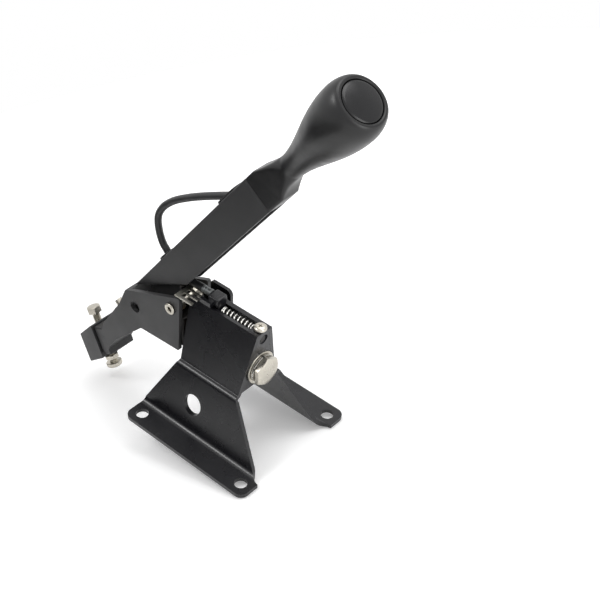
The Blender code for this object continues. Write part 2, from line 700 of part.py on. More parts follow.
arm = make_arm()
plate_outer = ARM_HALF_WIDTH - ARM_WALL - SEAT_GAP
plate_inner = plate_outer - PLATE_THICKNESS
plate_foot = AXIS_HEIGHT + HUB_HEIGHT / 2.0 + 0.0018


def make_arm_plates():
    half = ARM_DEPTH / 2.0
    top_front = along_arm(PLATE_REACH, half - 0.003)
    top_rear = along_arm(PLATE_REACH, -half + ARM_WALL + 0.001)
    low_front = along_arm(ARM_FRONT_START - 0.011, half - 0.0025)
    low_rear = along_arm(0.004, -half + ARM_WALL + 0.001)
    places = [(low_rear.x + 0.004, plate_foot), (low_front.x, plate_foot), (low_front.x, low_front.z),
              (top_front.x, top_front.z), (top_rear.x, top_rear.z), (low_rear.x, low_rear.z)]
    outline = rounded([lever_point(*place_) for place_ in places], [0.003, 0.003, 0.004, 0.003, 0.003, 0.006],
                      steps=4)
    for side, name in ((-1.0, "near_arm_plate"), (1.0, "far_arm_plate")):
        low, high = sorted((side * plate_inner, side * plate_outer))
        plate = slab(name, outline, low, high, lever_pivot, black_paint)
        across, up = lever_point(*RIVET_PLACE)
        cut(plate, rod(name + "_cutter", (across, -cross_reach, up), (across, cross_reach, up),
                       RIVET_RADIUS + SEAT_GAP,
                       lever_pivot, None))


make_arm_plates()


def make_rivet():
    across, up = lever_point(*RIVET_PLACE)
    rim = BRACKET_HALF_WIDTH + SEAT_GAP
    end = rim + RIVET_RIM_THICKNESS
    profile = [(RIVET_RIM_RADIUS, end), (RIVET_RIM_RADIUS, rim), (RIVET_RADIUS, rim), (RIVET_RADIUS, -rim),
               (RIVET_RIM_RADIUS, -rim), (RIVET_RIM_RADIUS, -end), (RIVET_BORE_RADIUS, -end),
               (RIVET_BORE_RADIUS, end)]
    turned("arm_rivet", profile, lever_pivot, zinc, axis="Y", where=(across, 0.0, up))
    low = plate_outer + SEAT_GAP
    high = BRACKET_HALF_WIDTH - BRACKET_WALL - SEAT_GAP
    for side, name in ((-1.0, "near_spacer"), (1.0, "far_spacer")):
        first, last = sorted((side * low, side * high))
        profile = [(RIVET_RADIUS + 0.0022, (last - first) / 2.0), (RIVET_RADIUS + 0.0022,
                                                                   (first - last) / 2.0),
                   (RIVET_RADIUS + SEAT_GAP, (first - last) / 2.0), (RIVET_RADIUS + SEAT_GAP,
                                                                     (last - first) / 2.0)]
        turned(name, profile, lever_pivot, zinc, segments=SMALL_ROUND, axis="Y",
               where=(across, (first + last) / 2.0, up))


make_rivet()


# Handle: a loft that carries the arm's own section on, flush with it, to the round neck and knob

def neck_section(share, length, roundness):
    """A section between the neck, at share 0, and the arm's section, at share 1."""
    return (length, between(HANDLE_NECK_RADIUS, ARM_DEPTH / 2.0, share),
            between(HANDLE_NECK_RADIUS, ARM_HALF_WIDTH, share), roundness, HANDLE_COLLAR_TILT * share)


def knob_section(share, swell):
    """A round section between the neck and the knob's widest place."""
    radius = between(HANDLE_NECK_RADIUS, KNOB_RADIUS, swell)
    return between(HANDLE_NECK_PLACE, KNOB_PLACE, share), radius, radius, 1.0, 0.0


def rim_section(share, drop):
    """A round section between the knob's widest place and its rim."""
    radius = between(KNOB_RADIUS, KNOB_RIM_RADIUS, drop)
    return between(KNOB_PLACE, HANDLE_END, share), radius, radius, 1.0, 0.0


def handle_sections():
    """Length along the arm, half sizes across and to the side, roundness from 0 to 1, and tilt."""
    neck_start = between(HANDLE_COLLAR_END, HANDLE_NECK_PLACE, 0.10)
    sections = [(HANDLE_START, ARM_DEPTH / 2.0, ARM_HALF_WIDTH, 0.0, 0.0),
                neck_section(1.0, HANDLE_COLLAR_END, 0.0)]
    for place_, share, roundness in ((0.0, 0.86, 0.10), (0.25, 0.50, 0.32), (0.52, 0.19, 0.62), (0.80, 0.03,
                                                                                                 0.90)):
        sections.append(neck_section(share, between(neck_start, HANDLE_NECK_PLACE, place_), roundness))
    for share, swell in ((0.04, 0.0), (0.18, 0.09), (0.30, 0.27), (0.45, 0.56), (0.60, 0.79), (0.78, 0.945),
                         (0.97, 1.0)):
        sections.append(knob_section(share, swell))
    for share, drop in ((0.42, 0.07), (0.68, 0.27), (0.88, 0.62), (1.0, 1.0)):
        sections.append(rim_section(share, drop))
    return sections


def section_point(angle, half_across, half_side, roundness):
    """A point on a section between a rectangle with small corners and an ellipse."""
    power = 2.0 + (1.0 - roundness) ** 1.5 * 14.0
    across = abs(math.cos(angle)) ** (2.0 / power) * math.copysign(half_across, math.cos(angle))
    side = abs(math.sin(angle)) ** (2.0 / power) * math.copysign(half_side, math.sin(angle))
    return across, side


def make_handle():
    shape = bmesh.new()
    previous = None
    segments = 40
    for length, half_across, half_side, roundness, tilt in handle_sections():
        current = []
        for index in range(segments):
            angle = 2.0 * math.pi * (index + 0.5) / segments
            across, side = section_point(angle, half_across, half_side, roundness)
            current.append(shape.verts.new((across, side, length + tilt * across)))
        if previous is None:
            shape.faces.new(list(reversed(current)))
        else:
            for index in range(segments):
                follower = (index + 1) % segments
                shape.faces.new((previous[index], previous[follower], current[follower], current[index]))
        previous = current
    shape.faces.new(previous)
    handle = from_bmesh("handle", shape, arm_frame, moulded_black)
    tenon_side = ARM_HALF_WIDTH - ARM_WALL - SEAT_GAP
    join(handle, block("tenon", (-ARM_DEPTH / 2.0 + ARM_WALL + SEAT_GAP, -tenon_side,
                                 HANDLE_START - HANDLE_TENON),
                       (ARM_DEPTH / 2.0 - ARM_WALL, tenon_side, HANDLE_START + HANDLE_TENON), arm_frame,
                       None))
    cut(handle, rod("cable_cutter", (0.0, 0.0, HANDLE_START - 2.0 * HANDLE_TENON),
                    (0.0, 0.0, CABLE_START + 3.0 * SEAT_GAP), CABLE_RADIUS + 5.0 * SEAT_GAP, arm_frame, None))
    bore_floor = HANDLE_END - BUTTON_THICKNESS - BUTTON_SPRING_LENGTH
    cut(handle, rod("button_cutter", (0.0, 0.0, bore_floor), (0.0, 0.0, HANDLE_END + 0.01),
                    BUTTON_RADIUS + RUNNING_GAP, arm_frame, None, segments=40))
    stem_end = HANDLE_END - BUTTON_THICKNESS - BUTTON_STEM_LENGTH
    cut(handle, rod("stem_cutter", (0.0, 0.0, stem_end - BUTTON_TRAVEL - 0.001), (0.0, 0.0,
                                                                                  bore_floor + 0.002),
                    BUTTON_STEM_RADIUS + RUNNING_GAP, arm_frame, None))
    cut(handle, rod("rod_cutter", (0.0, 0.0, CABLE_START), (0.0, 0.0, stem_end + SEAT_GAP),
                    PUSH_ROD_RADIUS + RUNNING_GAP * 2.0, arm_frame, None, segments=SMALL_ROUND))
    return handle


make_handle()


# Button: a crowned cap on a stem, pushed in against its spring. It rests flush with the rim.

def make_button():
    low = -BUTTON_THICKNESS
    profile = [(0.0, BUTTON_CROWN)]
    for step in range(1, 6):
        radius = BUTTON_RADIUS * 0.93 * step / 5.0
        profile.append((radius, BUTTON_CROWN * (1.0 - (radius / BUTTON_RADIUS) ** 2)))
    stem_low = low - BUTTON_STEM_LENGTH
    profile += [(BUTTON_RADIUS * 0.985, -0.0004), (BUTTON_RADIUS, -0.0011), (BUTTON_RADIUS, low),
                (BUTTON_STEM_RADIUS, low), (BUTTON_STEM_RADIUS, stem_low), (0.0, stem_low)]
    turned("push_button", profile, button_frame, button_black, segments=40)
    rod_top = stem_low - SEAT_GAP
    rod_low = CABLE_START + BUTTON_TRAVEL + MOVING_GAP - HANDLE_END
    rod("push_rod", (0.0, 0.0, rod_low), (0.0, 0.0, rod_top), PUSH_ROD_RADIUS, button_frame, spring_steel,
        segments=12)
    points = []
    radius = BUTTON_STEM_RADIUS + 0.0022
    wire = 0.0005
    turns = 3
    low = HANDLE_END - BUTTON_THICKNESS - BUTTON_SPRING_LENGTH + SEAT_GAP + wire
    high = HANDLE_END - BUTTON_THICKNESS - SEAT_GAP - wire
    steps = 14 * turns
    for step in range(steps + 1):
        angle = 2.0 * math.pi * turns * step / steps
        points.append((radius * math.cos(angle), radius * math.sin(angle), between(low, high, step / steps)))
    tube("button_spring", points, wire, arm_frame, spring_steel, sides=1)


make_button()


# Latch on top of the housing: a block with a keel in the slot, a nose for the comb and a rod in the spring

latch_front = LATCH_REAR + LATCH_LENGTH
slot_half_width = HOUSING_TOP_HALF_WIDTH - SHEET


def make_latch():
    top = latch_top - HOUSING_TOP_HEIGHT
    latch = block("latch_slider", (0.0, -LATCH_HALF_WIDTH, SEAT_GAP), (LATCH_LENGTH, LATCH_HALF_WIDTH, top),
                  latch_frame, black_paint, edge=0.0007)
    keel_half = slot_half_width - RUNNING_GAP
    join(latch, block("keel", (0.0005, -keel_half, -KEEL_DEPTH), (LATCH_LENGTH - 0.0005, keel_half, 0.002),
                      latch_frame, None))
    near = NOSE_PLACE - NOSE_WIDTH / 2.0
    far = NOSE_PLACE + NOSE_WIDTH / 2.0
    join(latch, block("nose_arm", (0.001, near, SEAT_GAP * 2.0),
                      (0.005, 0.0, SEAT_GAP * 2.0 + NOSE_HEIGHT), latch_frame, None))
    join(latch, block("nose", (-NOSE_LENGTH, near, SEAT_GAP * 2.5),
                      (0.002, far, SEAT_GAP * 1.5 + NOSE_HEIGHT), latch_frame, None))
    rod_height = spring_height - HOUSING_TOP_HEIGHT
    rod("guide_rod", (LATCH_LENGTH + SEAT_GAP - 0.0005, 0.0, rod_height),
        (TAB_REAR - LATCH_REAR - BUTTON_TRAVEL - 0.001, 0.0, rod_height), GUIDE_ROD_RADIUS, latch_frame,
        dark_steel,
        segments=SMALL_ROUND)
    ferrule_height = cable_height - HOUSING_TOP_HEIGHT
    end = -SEAT_GAP
    profile = [(0.0, FERRULE_LENGTH), (CABLE_RADIUS, FERRULE_LENGTH), (FERRULE_RADIUS,
                                                                       FERRULE_LENGTH - 0.001),
               (FERRULE_RADIUS, 0.0), (0.0, 0.0)]
    turned("cable_ferrule", profile, latch_frame, dark_steel, segments=SMALL_ROUND, axis="X",
           where=(end - FERRULE_LENGTH, 0.0, ferrule_height))


make_latch()


def make_latch_spring():
    start = latch_front + SEAT_GAP + SPRING_WIRE_RADIUS
    end = TAB_REAR - SEAT_GAP - SPRING_WIRE_RADIUS
    coil_radius = SPRING_RADIUS - SPRING_WIRE_RADIUS
    steps = 16 * SPRING_TURNS
    points = []
    for step in range(steps + 1):
        angle = 2.0 * math.pi * SPRING_TURNS * step / steps
        points.append((between(start, end, step / steps), coil_radius * math.cos(angle),
                       spring_height + coil_radius * math.sin(angle)))
    tube("latch_spring", points, SPRING_WIRE_RADIUS, None, spring_steel, sides=1)


make_latch_spring()


def make_latch_fixings():
    rod("stop_screw", (TAB_REAR + SHEET * 0.7 + SEAT_GAP, 0.0, stop_screw_height),
        (housing_front(stop_screw_height) - 0.0008, 0.0, stop_screw_height), STOP_SCREW_RADIUS, None, zinc,
        segments=SMALL_ROUND)
    high = HOUSING_TOP_HEIGHT + SEAT_GAP
    top = high + TAB_SCREW_HEAD_THICKNESS
    low = HOUSING_TOP_HEIGHT - SHEET - SEAT_GAP
    profile = [(0.0, top), (TAB_SCREW_HEAD_RADIUS * 0.55, top - 0.0002), (TAB_SCREW_HEAD_RADIUS * 0.9,
                                                                          top - 0.0011),
               (TAB_SCREW_HEAD_RADIUS, high + 0.0006), (TAB_SCREW_HEAD_RADIUS, high), (TAB_SCREW_RADIUS,
                                                                                       high),
               (TAB_SCREW_RADIUS, low), (0.0, low)]
    turned("tab_screw", profile, None, zinc, segments=SMALL_ROUND, where=(TAB_SCREW_PLACE, 0.0, 0.0))


make_latch_fixings()


def make_slider_guide():
    """An upright plate on the far side that keeps the latch block in line, with its screw."""
    low = guide_plate_low
    near = housing_half_width(low) + SEAT_GAP * 2.5
    outline = rounded([(GUIDE_PLATE_REAR, low), (GUIDE_PLATE_FRONT, low), (GUIDE_PLATE_FRONT,
                                                                           guide_plate_top),
                       (GUIDE_PLATE_REAR, guide_plate_top)], [0.001, 0.001, 0.004, 0.002], steps=4)
    guide = slab("slider_guide", outline, near, near + GUIDE_PLATE_THICKNESS, None, black_paint)
    middle = (GUIDE_PLATE_REAR + GUIDE_PLATE_FRONT) / 2.0
    height = low + GUIDE_PLATE_DEPTH * 0.43
    bore = GUIDE_SCREW_RADIUS + SEAT_GAP
    inner = housing_half_width(height) - SHEET * 1.7
    outer = near + GUIDE_PLATE_THICKNESS + SEAT_GAP
    cut(guide, rod("guide_cutter", (middle, inner, height), (middle, outer, height), bore, None, None,
                   segments=SMALL_ROUND))
    cut(base_bracket, rod("guide_hole_cutter", (middle, inner - SHEET, height), (middle, outer, height),
                          bore, None,
                          None, segments=SMALL_ROUND))
    head = GUIDE_SCREW_HEAD_RADIUS
    profile = [(0.0, outer + GUIDE_SCREW_HEAD), (head * 0.65, outer + GUIDE_SCREW_HEAD * 0.9),
               (head, outer + GUIDE_SCREW_HEAD * 0.45), (head, outer), (GUIDE_SCREW_RADIUS, outer),
               (GUIDE_SCREW_RADIUS, inner), (0.0, inner)]
    turned("guide_screw", profile, None, zinc, segments=SMALL_ROUND, axis="Y", where=(middle, 0.0, height))


make_slider_guide()


# Latch comb: a plate on the near flange, with slots open towards the latch's nose

def make_comb():
    low = comb_height - AXIS_HEIGHT
    high = low + COMB_THICKNESS
    front = LATCH_REAR - NOSE_LENGTH - 0.0005
    comb = block("latch_comb", (COMB_REAR, COMB_NEAR_EDGE, low), (front, COMB_FAR_EDGE, high), lever_pivot,
                 zinc)
    for step in (-1, 0, 1):
        middle = NOSE_PLACE + step * SLOT_PITCH
        cut(comb, block("slot_cutter", (front - SLOT_DEPTH, middle - SLOT_WIDTH / 2.0, low - 0.002),
                        (front + 0.002, middle + SLOT_WIDTH / 2.0, high + 0.002), lever_pivot, None))
    return comb


make_comb()


# Release cable: from the push rod through the arm, out of its rear web, round in a loop, back through the web
# and down between the side plates to the ferrule on the latch

WEB_EXIT_DROP = 0.028
WEB_EXIT = HANDLE_START - WEB_EXIT_DROP
WEB_RETURN = 0.028
EXIT_SLOPE = 0.50
RETURN_SLOPE = 0.22
web_middle = -ARM_DEPTH / 2.0 + ARM_WALL / 2.0
cable_route = [(CABLE_START, 0.0, 0.0), (HANDLE_START - HANDLE_TENON, -0.0004, 0.0)]
for away in (0.014, 0.007, 0.0, -0.007, -0.014):
    cable_route.append((WEB_EXIT + away, web_middle + away * EXIT_SLOPE, 0.0))
cable_route += [(0.096, -0.0240, 0.0), (0.082, -0.0300, 0.0), (0.068, -0.0348, 0.0), (0.055, -0.0368, 0.0),
                (0.044, -0.0350, 0.0), (0.0355, -0.0285, 0.0)]
for away in (-0.010, -0.005, 0.0, 0.005, 0.009):
    cable_route.append((WEB_RETURN - away * RETURN_SLOPE, web_middle + away, 0.0))
latch_end = Vector((LATCH_REAR - SEAT_GAP - FERRULE_LENGTH - SEAT_GAP, 0.0, cable_height))


def smooth_route(points, spacing):
    """Points at even spacing on a smooth curve through the route."""
    dense = []
    count = len(points)
    for index in range(count - 1):
        before = points[max(index - 1, 0)]
        first = points[index]
        second = points[index + 1]
        after = points[min(index + 2, count - 1)]
        for step in range(16):
            t = step / 16.0
            position = (first * 2.0 + (second - before) * t
                        + (before * 2.0 - first * 5.0 + second * 4.0 - after) * t ** 2
                        + (first * 3.0 - before - second * 3.0 + after) * t ** 3) / 2.0
            dense.append(position)
    dense.append(points[-1])
    total = sum((dense[index + 1] - dense[index]).length for index in range(len(dense) - 1))
    wanted = max(2, round(total / spacing))
    result = [dense[0]]
    travelled = 0.0
    target = total / wanted
    for index in range(len(dense) - 1):
        travelled += (dense[index + 1] - dense[index]).length
        if travelled >= target * len(result) and len(result) < wanted:
            result.append(dense[index + 1])
    result.append(dense[-1])
    return result


def make_cable():
    points = [along_arm(length, across, side) - LEVER_ORIGIN for length, across, side in cable_route]
    points += [Vector((latch_end.x - 0.0165, 0.0, cable_height + 0.0012)) - LEVER_ORIGIN,
               Vector((latch_end.x - 0.010, 0.0, cable_height)) - LEVER_ORIGIN,
               Vector((latch_end.x - 0.004, 0.0, cable_height)) - LEVER_ORIGIN, latch_end - LEVER_ORIGIN]
    route = smooth_route(points, CABLE_RADIUS * 4.4)
    tube("release_cable", route, CABLE_RADIUS, lever_pivot, cable_black, sides=3)
    return route


make_cable()


def oval(half_length, radius, place_):
    """An outline with round ends, across the arm and along it."""
    outline = []
    for step in range(9):
        angle = math.pi * step / 8.0
        outline.append((radius * math.cos(angle), place_ + half_length + radius * math.sin(angle)))
    for step in range(9):
        angle = math.pi + math.pi * step / 8.0
        outline.append((radius * math.cos(angle), place_ - half_length + radius * math.sin(angle)))
    return outline


def web_slab(name, outline, low, high, look):
    """An outline lying in the arm's web, from low to high across the arm."""
    thing = slab(name, outline, -high, -low, arm_frame, look)
    thing.rotation_euler = (0.0, 0.0, math.pi / 2.0)
    return thing


def make_grommets():
    web = -ARM_DEPTH / 2.0
    radius = CABLE_RADIUS + 0.0022
    for name, place_, along, half in (("upper_grommet", WEB_EXIT, Vector((EXIT_SLOPE, 0.0, 1.0)), 0.0070),
                                      ("lower_grommet", WEB_RETURN, Vector((1.0, 0.0, -RETURN_SLOPE)),
                                       0.0010)):
        cut(arm, web_slab(name + "_hole", oval(half, radius, place_), web - 0.004, web + 0.006, None))
        flange = web_slab(name, oval(half, radius + 0.0014, place_), web - 0.0014, web - SEAT_GAP,
                          cable_black)
        join(flange, web_slab(name + "_body", oval(half, radius - SEAT_GAP, place_), web - 0.0010,
                              web + ARM_WALL + 0.0008, None))
        direction = along.normalized()
        middle = Vector((web_middle, 0.0, place_))
        cut(flange, rod(name + "_bore", middle - direction * 0.018, middle + direction * 0.018,
                        CABLE_RADIUS + SEAT_GAP * 1.5, arm_frame, None, segments=SMALL_ROUND))


make_grommets()


# Small socket screw standing out of the leg's web

def make_web_screw():
    start = Vector((LEG_END_TOP[0], 0.0, LEG_END_TOP[1]))
    end = Vector((LEG_BEND[0], 0.0, LEG_BEND[1]))
    along = (end - start).normalized()
    out = Vector((-along.z, 0.0, along.x))
    seat = start + along * (end - start).length * 0.62 + Vector((0.0, -0.006, 0.0)) - LEVER_ORIGIN
    cut(lever_bracket, rod("web_screw_cutter", seat - out * 0.006, seat + out * 0.004,
                                               0.0016 + SEAT_GAP, lever_pivot, None, segments=SMALL_ROUND))
    screw = rod("web_screw", seat + out * SEAT_GAP, seat + out * 0.0052, 0.0028, lever_pivot, zinc,
                segments=SMALL_ROUND)
    join(screw, rod("web_screw_shank", seat - out * 0.0048, seat + out * 0.001, 0.0016, lever_pivot, None,
                    segments=SMALL_ROUND))
    cut(screw, rod("web_screw_socket", seat + out * 0.0030, seat + out * 0.008, 0.0014, lever_pivot, None,
                   segments=6))


make_web_screw()


# Linkage clamp: a lug welded in the end of the leg carries a stud, and the clamp block swivels on it

stud_height = -CLAMP_FACE_HEIGHT / 2.0
bolt_place = -CLAMP_DEPTH / 2.0
clamp_top = -CLAMP_TOP_SLOPE / 2.0
clamp_bottom = -CLAMP_FACE_HEIGHT - CLAMP_BOTTOM_SLOPE / 2.0
LUG_TONGUE = [(0.009, -0.0100), (0.0270, 0.0017), (0.0314, -0.0050), (0.0134, -0.0167), (0.009, -0.0200)]


def make_clamp():
    lug = block("clamp_lug", (SEAT_GAP, -inner_width, -LUG_DROP), (LUG_DEPTH, inner_width, -0.002),
                clamp_frame,
                black_paint, edge=0.0010)
    join(lug, slab("lug_tongue", LUG_TONGUE, -inner_width, inner_width, clamp_frame, None))
    stud_bore = STUD_RADIUS + RUNNING_GAP
    cut(lug, rod("lug_bore", (-0.004, 0.0, stud_height), (LUG_DEPTH, 0.0, stud_height), stud_bore,
                 clamp_frame, None, segments=SMALL_ROUND))
    stud_far = bolt_place - 0.002
    rod("swivel_stud", (stud_far + SEAT_GAP, 0.0, stud_height), (LUG_DEPTH - SEAT_GAP, 0.0, stud_height),
        STUD_RADIUS, clamp_frame, zinc, segments=SMALL_ROUND)
    outline = rounded([(0.0, 0.0), (0.0, -CLAMP_FACE_HEIGHT), (-CLAMP_DEPTH,
                                                               -CLAMP_FACE_HEIGHT - CLAMP_BOTTOM_SLOPE),
                       (-CLAMP_DEPTH, -CLAMP_TOP_SLOPE)], [0.001, 0.001, 0.001, 0.001], steps=3)
    clamp = slab("clamp_block", outline, -CLAMP_HALF_WIDTH, CLAMP_HALF_WIDTH, clamp_frame, black_paint)
    round_edges(clamp, 0.0006)
    cut(clamp, rod("block_stud_bore", (stud_far, 0.0, stud_height), (0.004, 0.0, stud_height), stud_bore,
                   clamp_frame, None, segments=SMALL_ROUND))
    bolt_bore = CLAMP_BOLT_RADIUS + SEAT_GAP
    cut(clamp, rod("bolt_bore", (bolt_place, 0.0, stud_height), (bolt_place, 0.0, 0.004), bolt_bore,
                   clamp_frame,
                   None, segments=SMALL_ROUND))
    cut(clamp, rod("screw_bore", (bolt_place, 0.0, clamp_bottom - 0.008), (bolt_place, 0.0, stud_height),
                   bolt_bore,
                   clamp_frame, None, segments=SMALL_ROUND))


make_clamp()


def make_clamp_fixings():
    low = clamp_top + CLAMP_BOLT_STANDOFF
    bolt = hex_prism("clamp_bolt", CLAMP_BOLT_FLATS, (bolt_place, 0.0, low),
                     (bolt_place, 0.0, low + CLAMP_BOLT_HEAD), clamp_frame, zinc)
    shank_end = stud_height + STUD_RADIUS + RUNNING_GAP + 0.0005
    join(bolt, rod("clamp_bolt_shank", (bolt_place, 0.0, shank_end), (bolt_place, 0.0, low + 0.001),
                   CLAMP_BOLT_RADIUS, clamp_frame, None, segments=SMALL_ROUND))
    nut_top = clamp_bottom - CLAMP_BOTTOM_SLOPE / 3.0 - SEAT_GAP
    nut = hex_prism("clamp_lock_nut", CLAMP_BOLT_FLATS, (bolt_place, 0.0, nut_top - 0.0035),
                    (bolt_place, 0.0, nut_top), clamp_frame, zinc)
    cut(nut, rod("lock_nut_bore", (bolt_place, 0.0, nut_top - 0.006), (bolt_place, 0.0, nut_top + 0.002),
                 CLAMP_BOLT_RADIUS + SEAT_GAP, clamp_frame, None, segments=SMALL_ROUND))
    top = clamp_bottom - CLAMP_SCREW_DROP
    radius = CLAMP_SCREW_HEAD_RADIUS
    profile = [(0.0, stud_height - STUD_RADIUS - RUNNING_GAP - 0.0005),
               (CLAMP_BOLT_RADIUS, stud_height - STUD_RADIUS - RUNNING_GAP - 0.0005), (CLAMP_BOLT_RADIUS,
                                                                                       top),
               (radius, top), (radius, top - CLAMP_SCREW_HEAD * 0.45),
               (radius * 0.88, top - CLAMP_SCREW_HEAD * 0.78), (radius * 0.5, top - CLAMP_SCREW_HEAD * 0.96),
               (0.0, top - CLAMP_SCREW_HEAD)]
    screw = turned("clamp_screw", profile, clamp_frame, zinc, segments=24, where=(bolt_place, 0.0, 0.0))
    cut(screw, block("driver_slot", (bolt_place - 0.0006, -0.01, top - CLAMP_SCREW_HEAD - 0.001),
                     (bolt_place + 0.0006, 0.01, top - CLAMP_SCREW_HEAD * 0.62), clamp_frame, None))


make_clamp_fixings()
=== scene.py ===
import math

import bmesh
import bpy
from mathutils import Matrix, Vector


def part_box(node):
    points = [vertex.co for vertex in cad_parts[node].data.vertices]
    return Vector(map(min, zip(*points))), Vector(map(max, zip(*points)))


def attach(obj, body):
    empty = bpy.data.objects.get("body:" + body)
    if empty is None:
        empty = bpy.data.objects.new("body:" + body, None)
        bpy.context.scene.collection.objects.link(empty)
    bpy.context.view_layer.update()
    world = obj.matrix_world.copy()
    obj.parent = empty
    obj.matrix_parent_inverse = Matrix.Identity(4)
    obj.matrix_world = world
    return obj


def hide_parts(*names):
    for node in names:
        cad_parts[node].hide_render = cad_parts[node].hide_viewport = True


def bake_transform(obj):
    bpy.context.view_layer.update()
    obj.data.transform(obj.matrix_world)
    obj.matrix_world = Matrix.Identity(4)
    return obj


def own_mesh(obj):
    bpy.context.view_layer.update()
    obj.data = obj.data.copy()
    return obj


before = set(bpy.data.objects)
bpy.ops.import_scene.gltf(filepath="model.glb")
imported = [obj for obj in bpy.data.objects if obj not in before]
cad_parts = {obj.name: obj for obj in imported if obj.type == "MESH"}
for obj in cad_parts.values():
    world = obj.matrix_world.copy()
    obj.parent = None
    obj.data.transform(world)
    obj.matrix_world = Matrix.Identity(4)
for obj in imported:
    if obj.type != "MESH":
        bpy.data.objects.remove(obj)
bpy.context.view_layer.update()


# Floor, light and camera.
# The shifter rests on the front ends of its feet and on the clamp's lower screw, so the white table under it
# slopes in the part's own frame. The light is a pale studio sky, dimmer behind the camera, with soft panels.

TABLE_SLOPE = math.radians(12.7)
TABLE_TOUCH = Vector((0.056, 0.0, -0.0004))
TABLE_RADIUS = 0.80
CAMERA_PLACE = (0.4044, -0.4306, 0.5963)
CAMERA_TARGET = (-0.0042, 0.0, 0.060)
scene = bpy.context.scene
scene.view_settings.view_transform = "Standard"


def keep(thing):
    scene.collection.objects.link(thing)
    return thing


def seen_directly(nodes, links):
    """One for camera, glossy and transmission rays, and zero for the rays that light the part."""
    path = nodes.new("ShaderNodeLightPath")
    value = path.outputs["Is Camera Ray"]
    for name in ("Is Glossy Ray", "Is Transmission Ray"):
        either = nodes.new("ShaderNodeMath")
        either.operation = "MAXIMUM"
        links.new(value, either.inputs[0])
        links.new(path.outputs[name], either.inputs[1])
        value = either.outputs[0]
    return value


def make_world():
    world = bpy.data.worlds.new("studio_sky")
    world.use_nodes = True
    nodes = world.node_tree.nodes
    links = world.node_tree.links
    sky = nodes["Background"]
    place = nodes.new("ShaderNodeTexCoord")
    split = nodes.new("ShaderNodeSeparateXYZ")
    links.new(place.outputs["Generated"], split.inputs[0])
    ramp = nodes.new("ShaderNodeValToRGB")
    ramp.color_ramp.elements[0].position = 0.0
    ramp.color_ramp.elements[0].color = (0.55, 0.55, 0.56, 1.0)
    ramp.color_ramp.elements[1].position = 0.9
    ramp.color_ramp.elements[1].color = (1.0, 1.0, 1.0, 1.0)
    links.new(split.outputs["Z"], ramp.inputs["Fac"])
    links.new(ramp.outputs["Color"], sky.inputs["Color"])
    towards = nodes.new("ShaderNodeVectorMath")
    towards.operation = "DOT_PRODUCT"
    towards.inputs[1].default_value = Vector((0.36, -0.78, 0.50)).normalized()
    links.new(place.outputs["Generated"], towards.inputs[0])
    dim = nodes.new("ShaderNodeMapRange")
    dim.interpolation_type = "SMOOTHSTEP"
    dim.inputs["From Min"].default_value = 0.55
    dim.inputs["From Max"].default_value = 0.93
    dim.inputs["To Min"].default_value = 0.84
    dim.inputs["To Max"].default_value = 0.12
    links.new(towards.outputs["Value"], dim.inputs["Value"])
    links.new(dim.outputs["Result"], sky.inputs["Strength"])
    white = nodes.new("ShaderNodeBackground")
    white.inputs["Color"].default_value = (1.0, 1.0, 1.0, 1.0)
    mix = nodes.new("ShaderNodeMixShader")
    links.new(seen_directly(nodes, links), mix.inputs[0])
    links.new(sky.outputs[0], mix.inputs[1])
    links.new(white.outputs[0], mix.inputs[2])
    links.new(mix.outputs[0], nodes["World Output"].inputs["Surface"])
    scene.world = world


def make_table():
    shape = bmesh.new()
    bmesh.ops.create_circle(shape, cap_ends=True, segments=96, radius=TABLE_RADIUS)
    mesh = bpy.data.meshes.new("table")
    shape.to_mesh(mesh)
    shape.free()
    table = keep(bpy.data.objects.new("table", mesh))
    table.matrix_world = Matrix.Translation(TABLE_TOUCH) @ Matrix.Rotation(-TABLE_SLOPE, 4, "Y")
    look = bpy.data.materials.new("white_table")
    look.use_nodes = True
    nodes = look.node_tree.nodes
    links = look.node_tree.links
    shader = nodes["Principled BSDF"]
    shader.inputs["Base Color"].default_value = (0.90, 0.90, 0.90, 1.0)
    shader.inputs["Roughness"].default_value = 0.75
    shader.inputs["Specular IOR Level"].default_value = 0.1
    glow = nodes.new("ShaderNodeEmission")
    glow.inputs["Color"].default_value = (1.0, 1.0, 1.0, 1.0)
    away = nodes.new("ShaderNodeVectorMath")
    away.operation = "LENGTH"
    links.new(nodes.new("ShaderNodeTexCoord").outputs["Object"], away.inputs[0])
    fade = nodes.new("ShaderNodeMapRange")
    fade.inputs["From Min"].default_value = 0.30
    fade.inputs["From Max"].default_value = TABLE_RADIUS
    fade.inputs["To Min"].default_value = 0.26
    fade.inputs["To Max"].default_value = 0.80
    links.new(away.outputs["Value"], fade.inputs["Value"])
    lift = nodes.new("ShaderNodeMath")
    lift.operation = "MULTIPLY"
    links.new(fade.outputs["Result"], lift.inputs[1])
    links.new(seen_directly(nodes, links), lift.inputs[0])
    links.new(lift.outputs[0], glow.inputs["Strength"])
    both = nodes.new("ShaderNodeAddShader")
    links.new(shader.outputs[0], both.inputs[0])
    links.new(glow.outputs[0], both.inputs[1])
    links.new(both.outputs[0], nodes["Material Output"].inputs["Surface"])
    table.data.materials.append(look)


def panel(name, place, target, size, power):
    data = bpy.data.lights.new(name, "AREA")
    data.shape = "RECTANGLE"
    data.size = size[0]
    data.size_y = size[1]
    data.energy = power
    lamp = keep(bpy.data.objects.new(name, data))
    lamp.location = place
    lamp.rotation_euler = (Vector(place) - Vector(target)).to_track_quat("Z", "Y").to_euler()


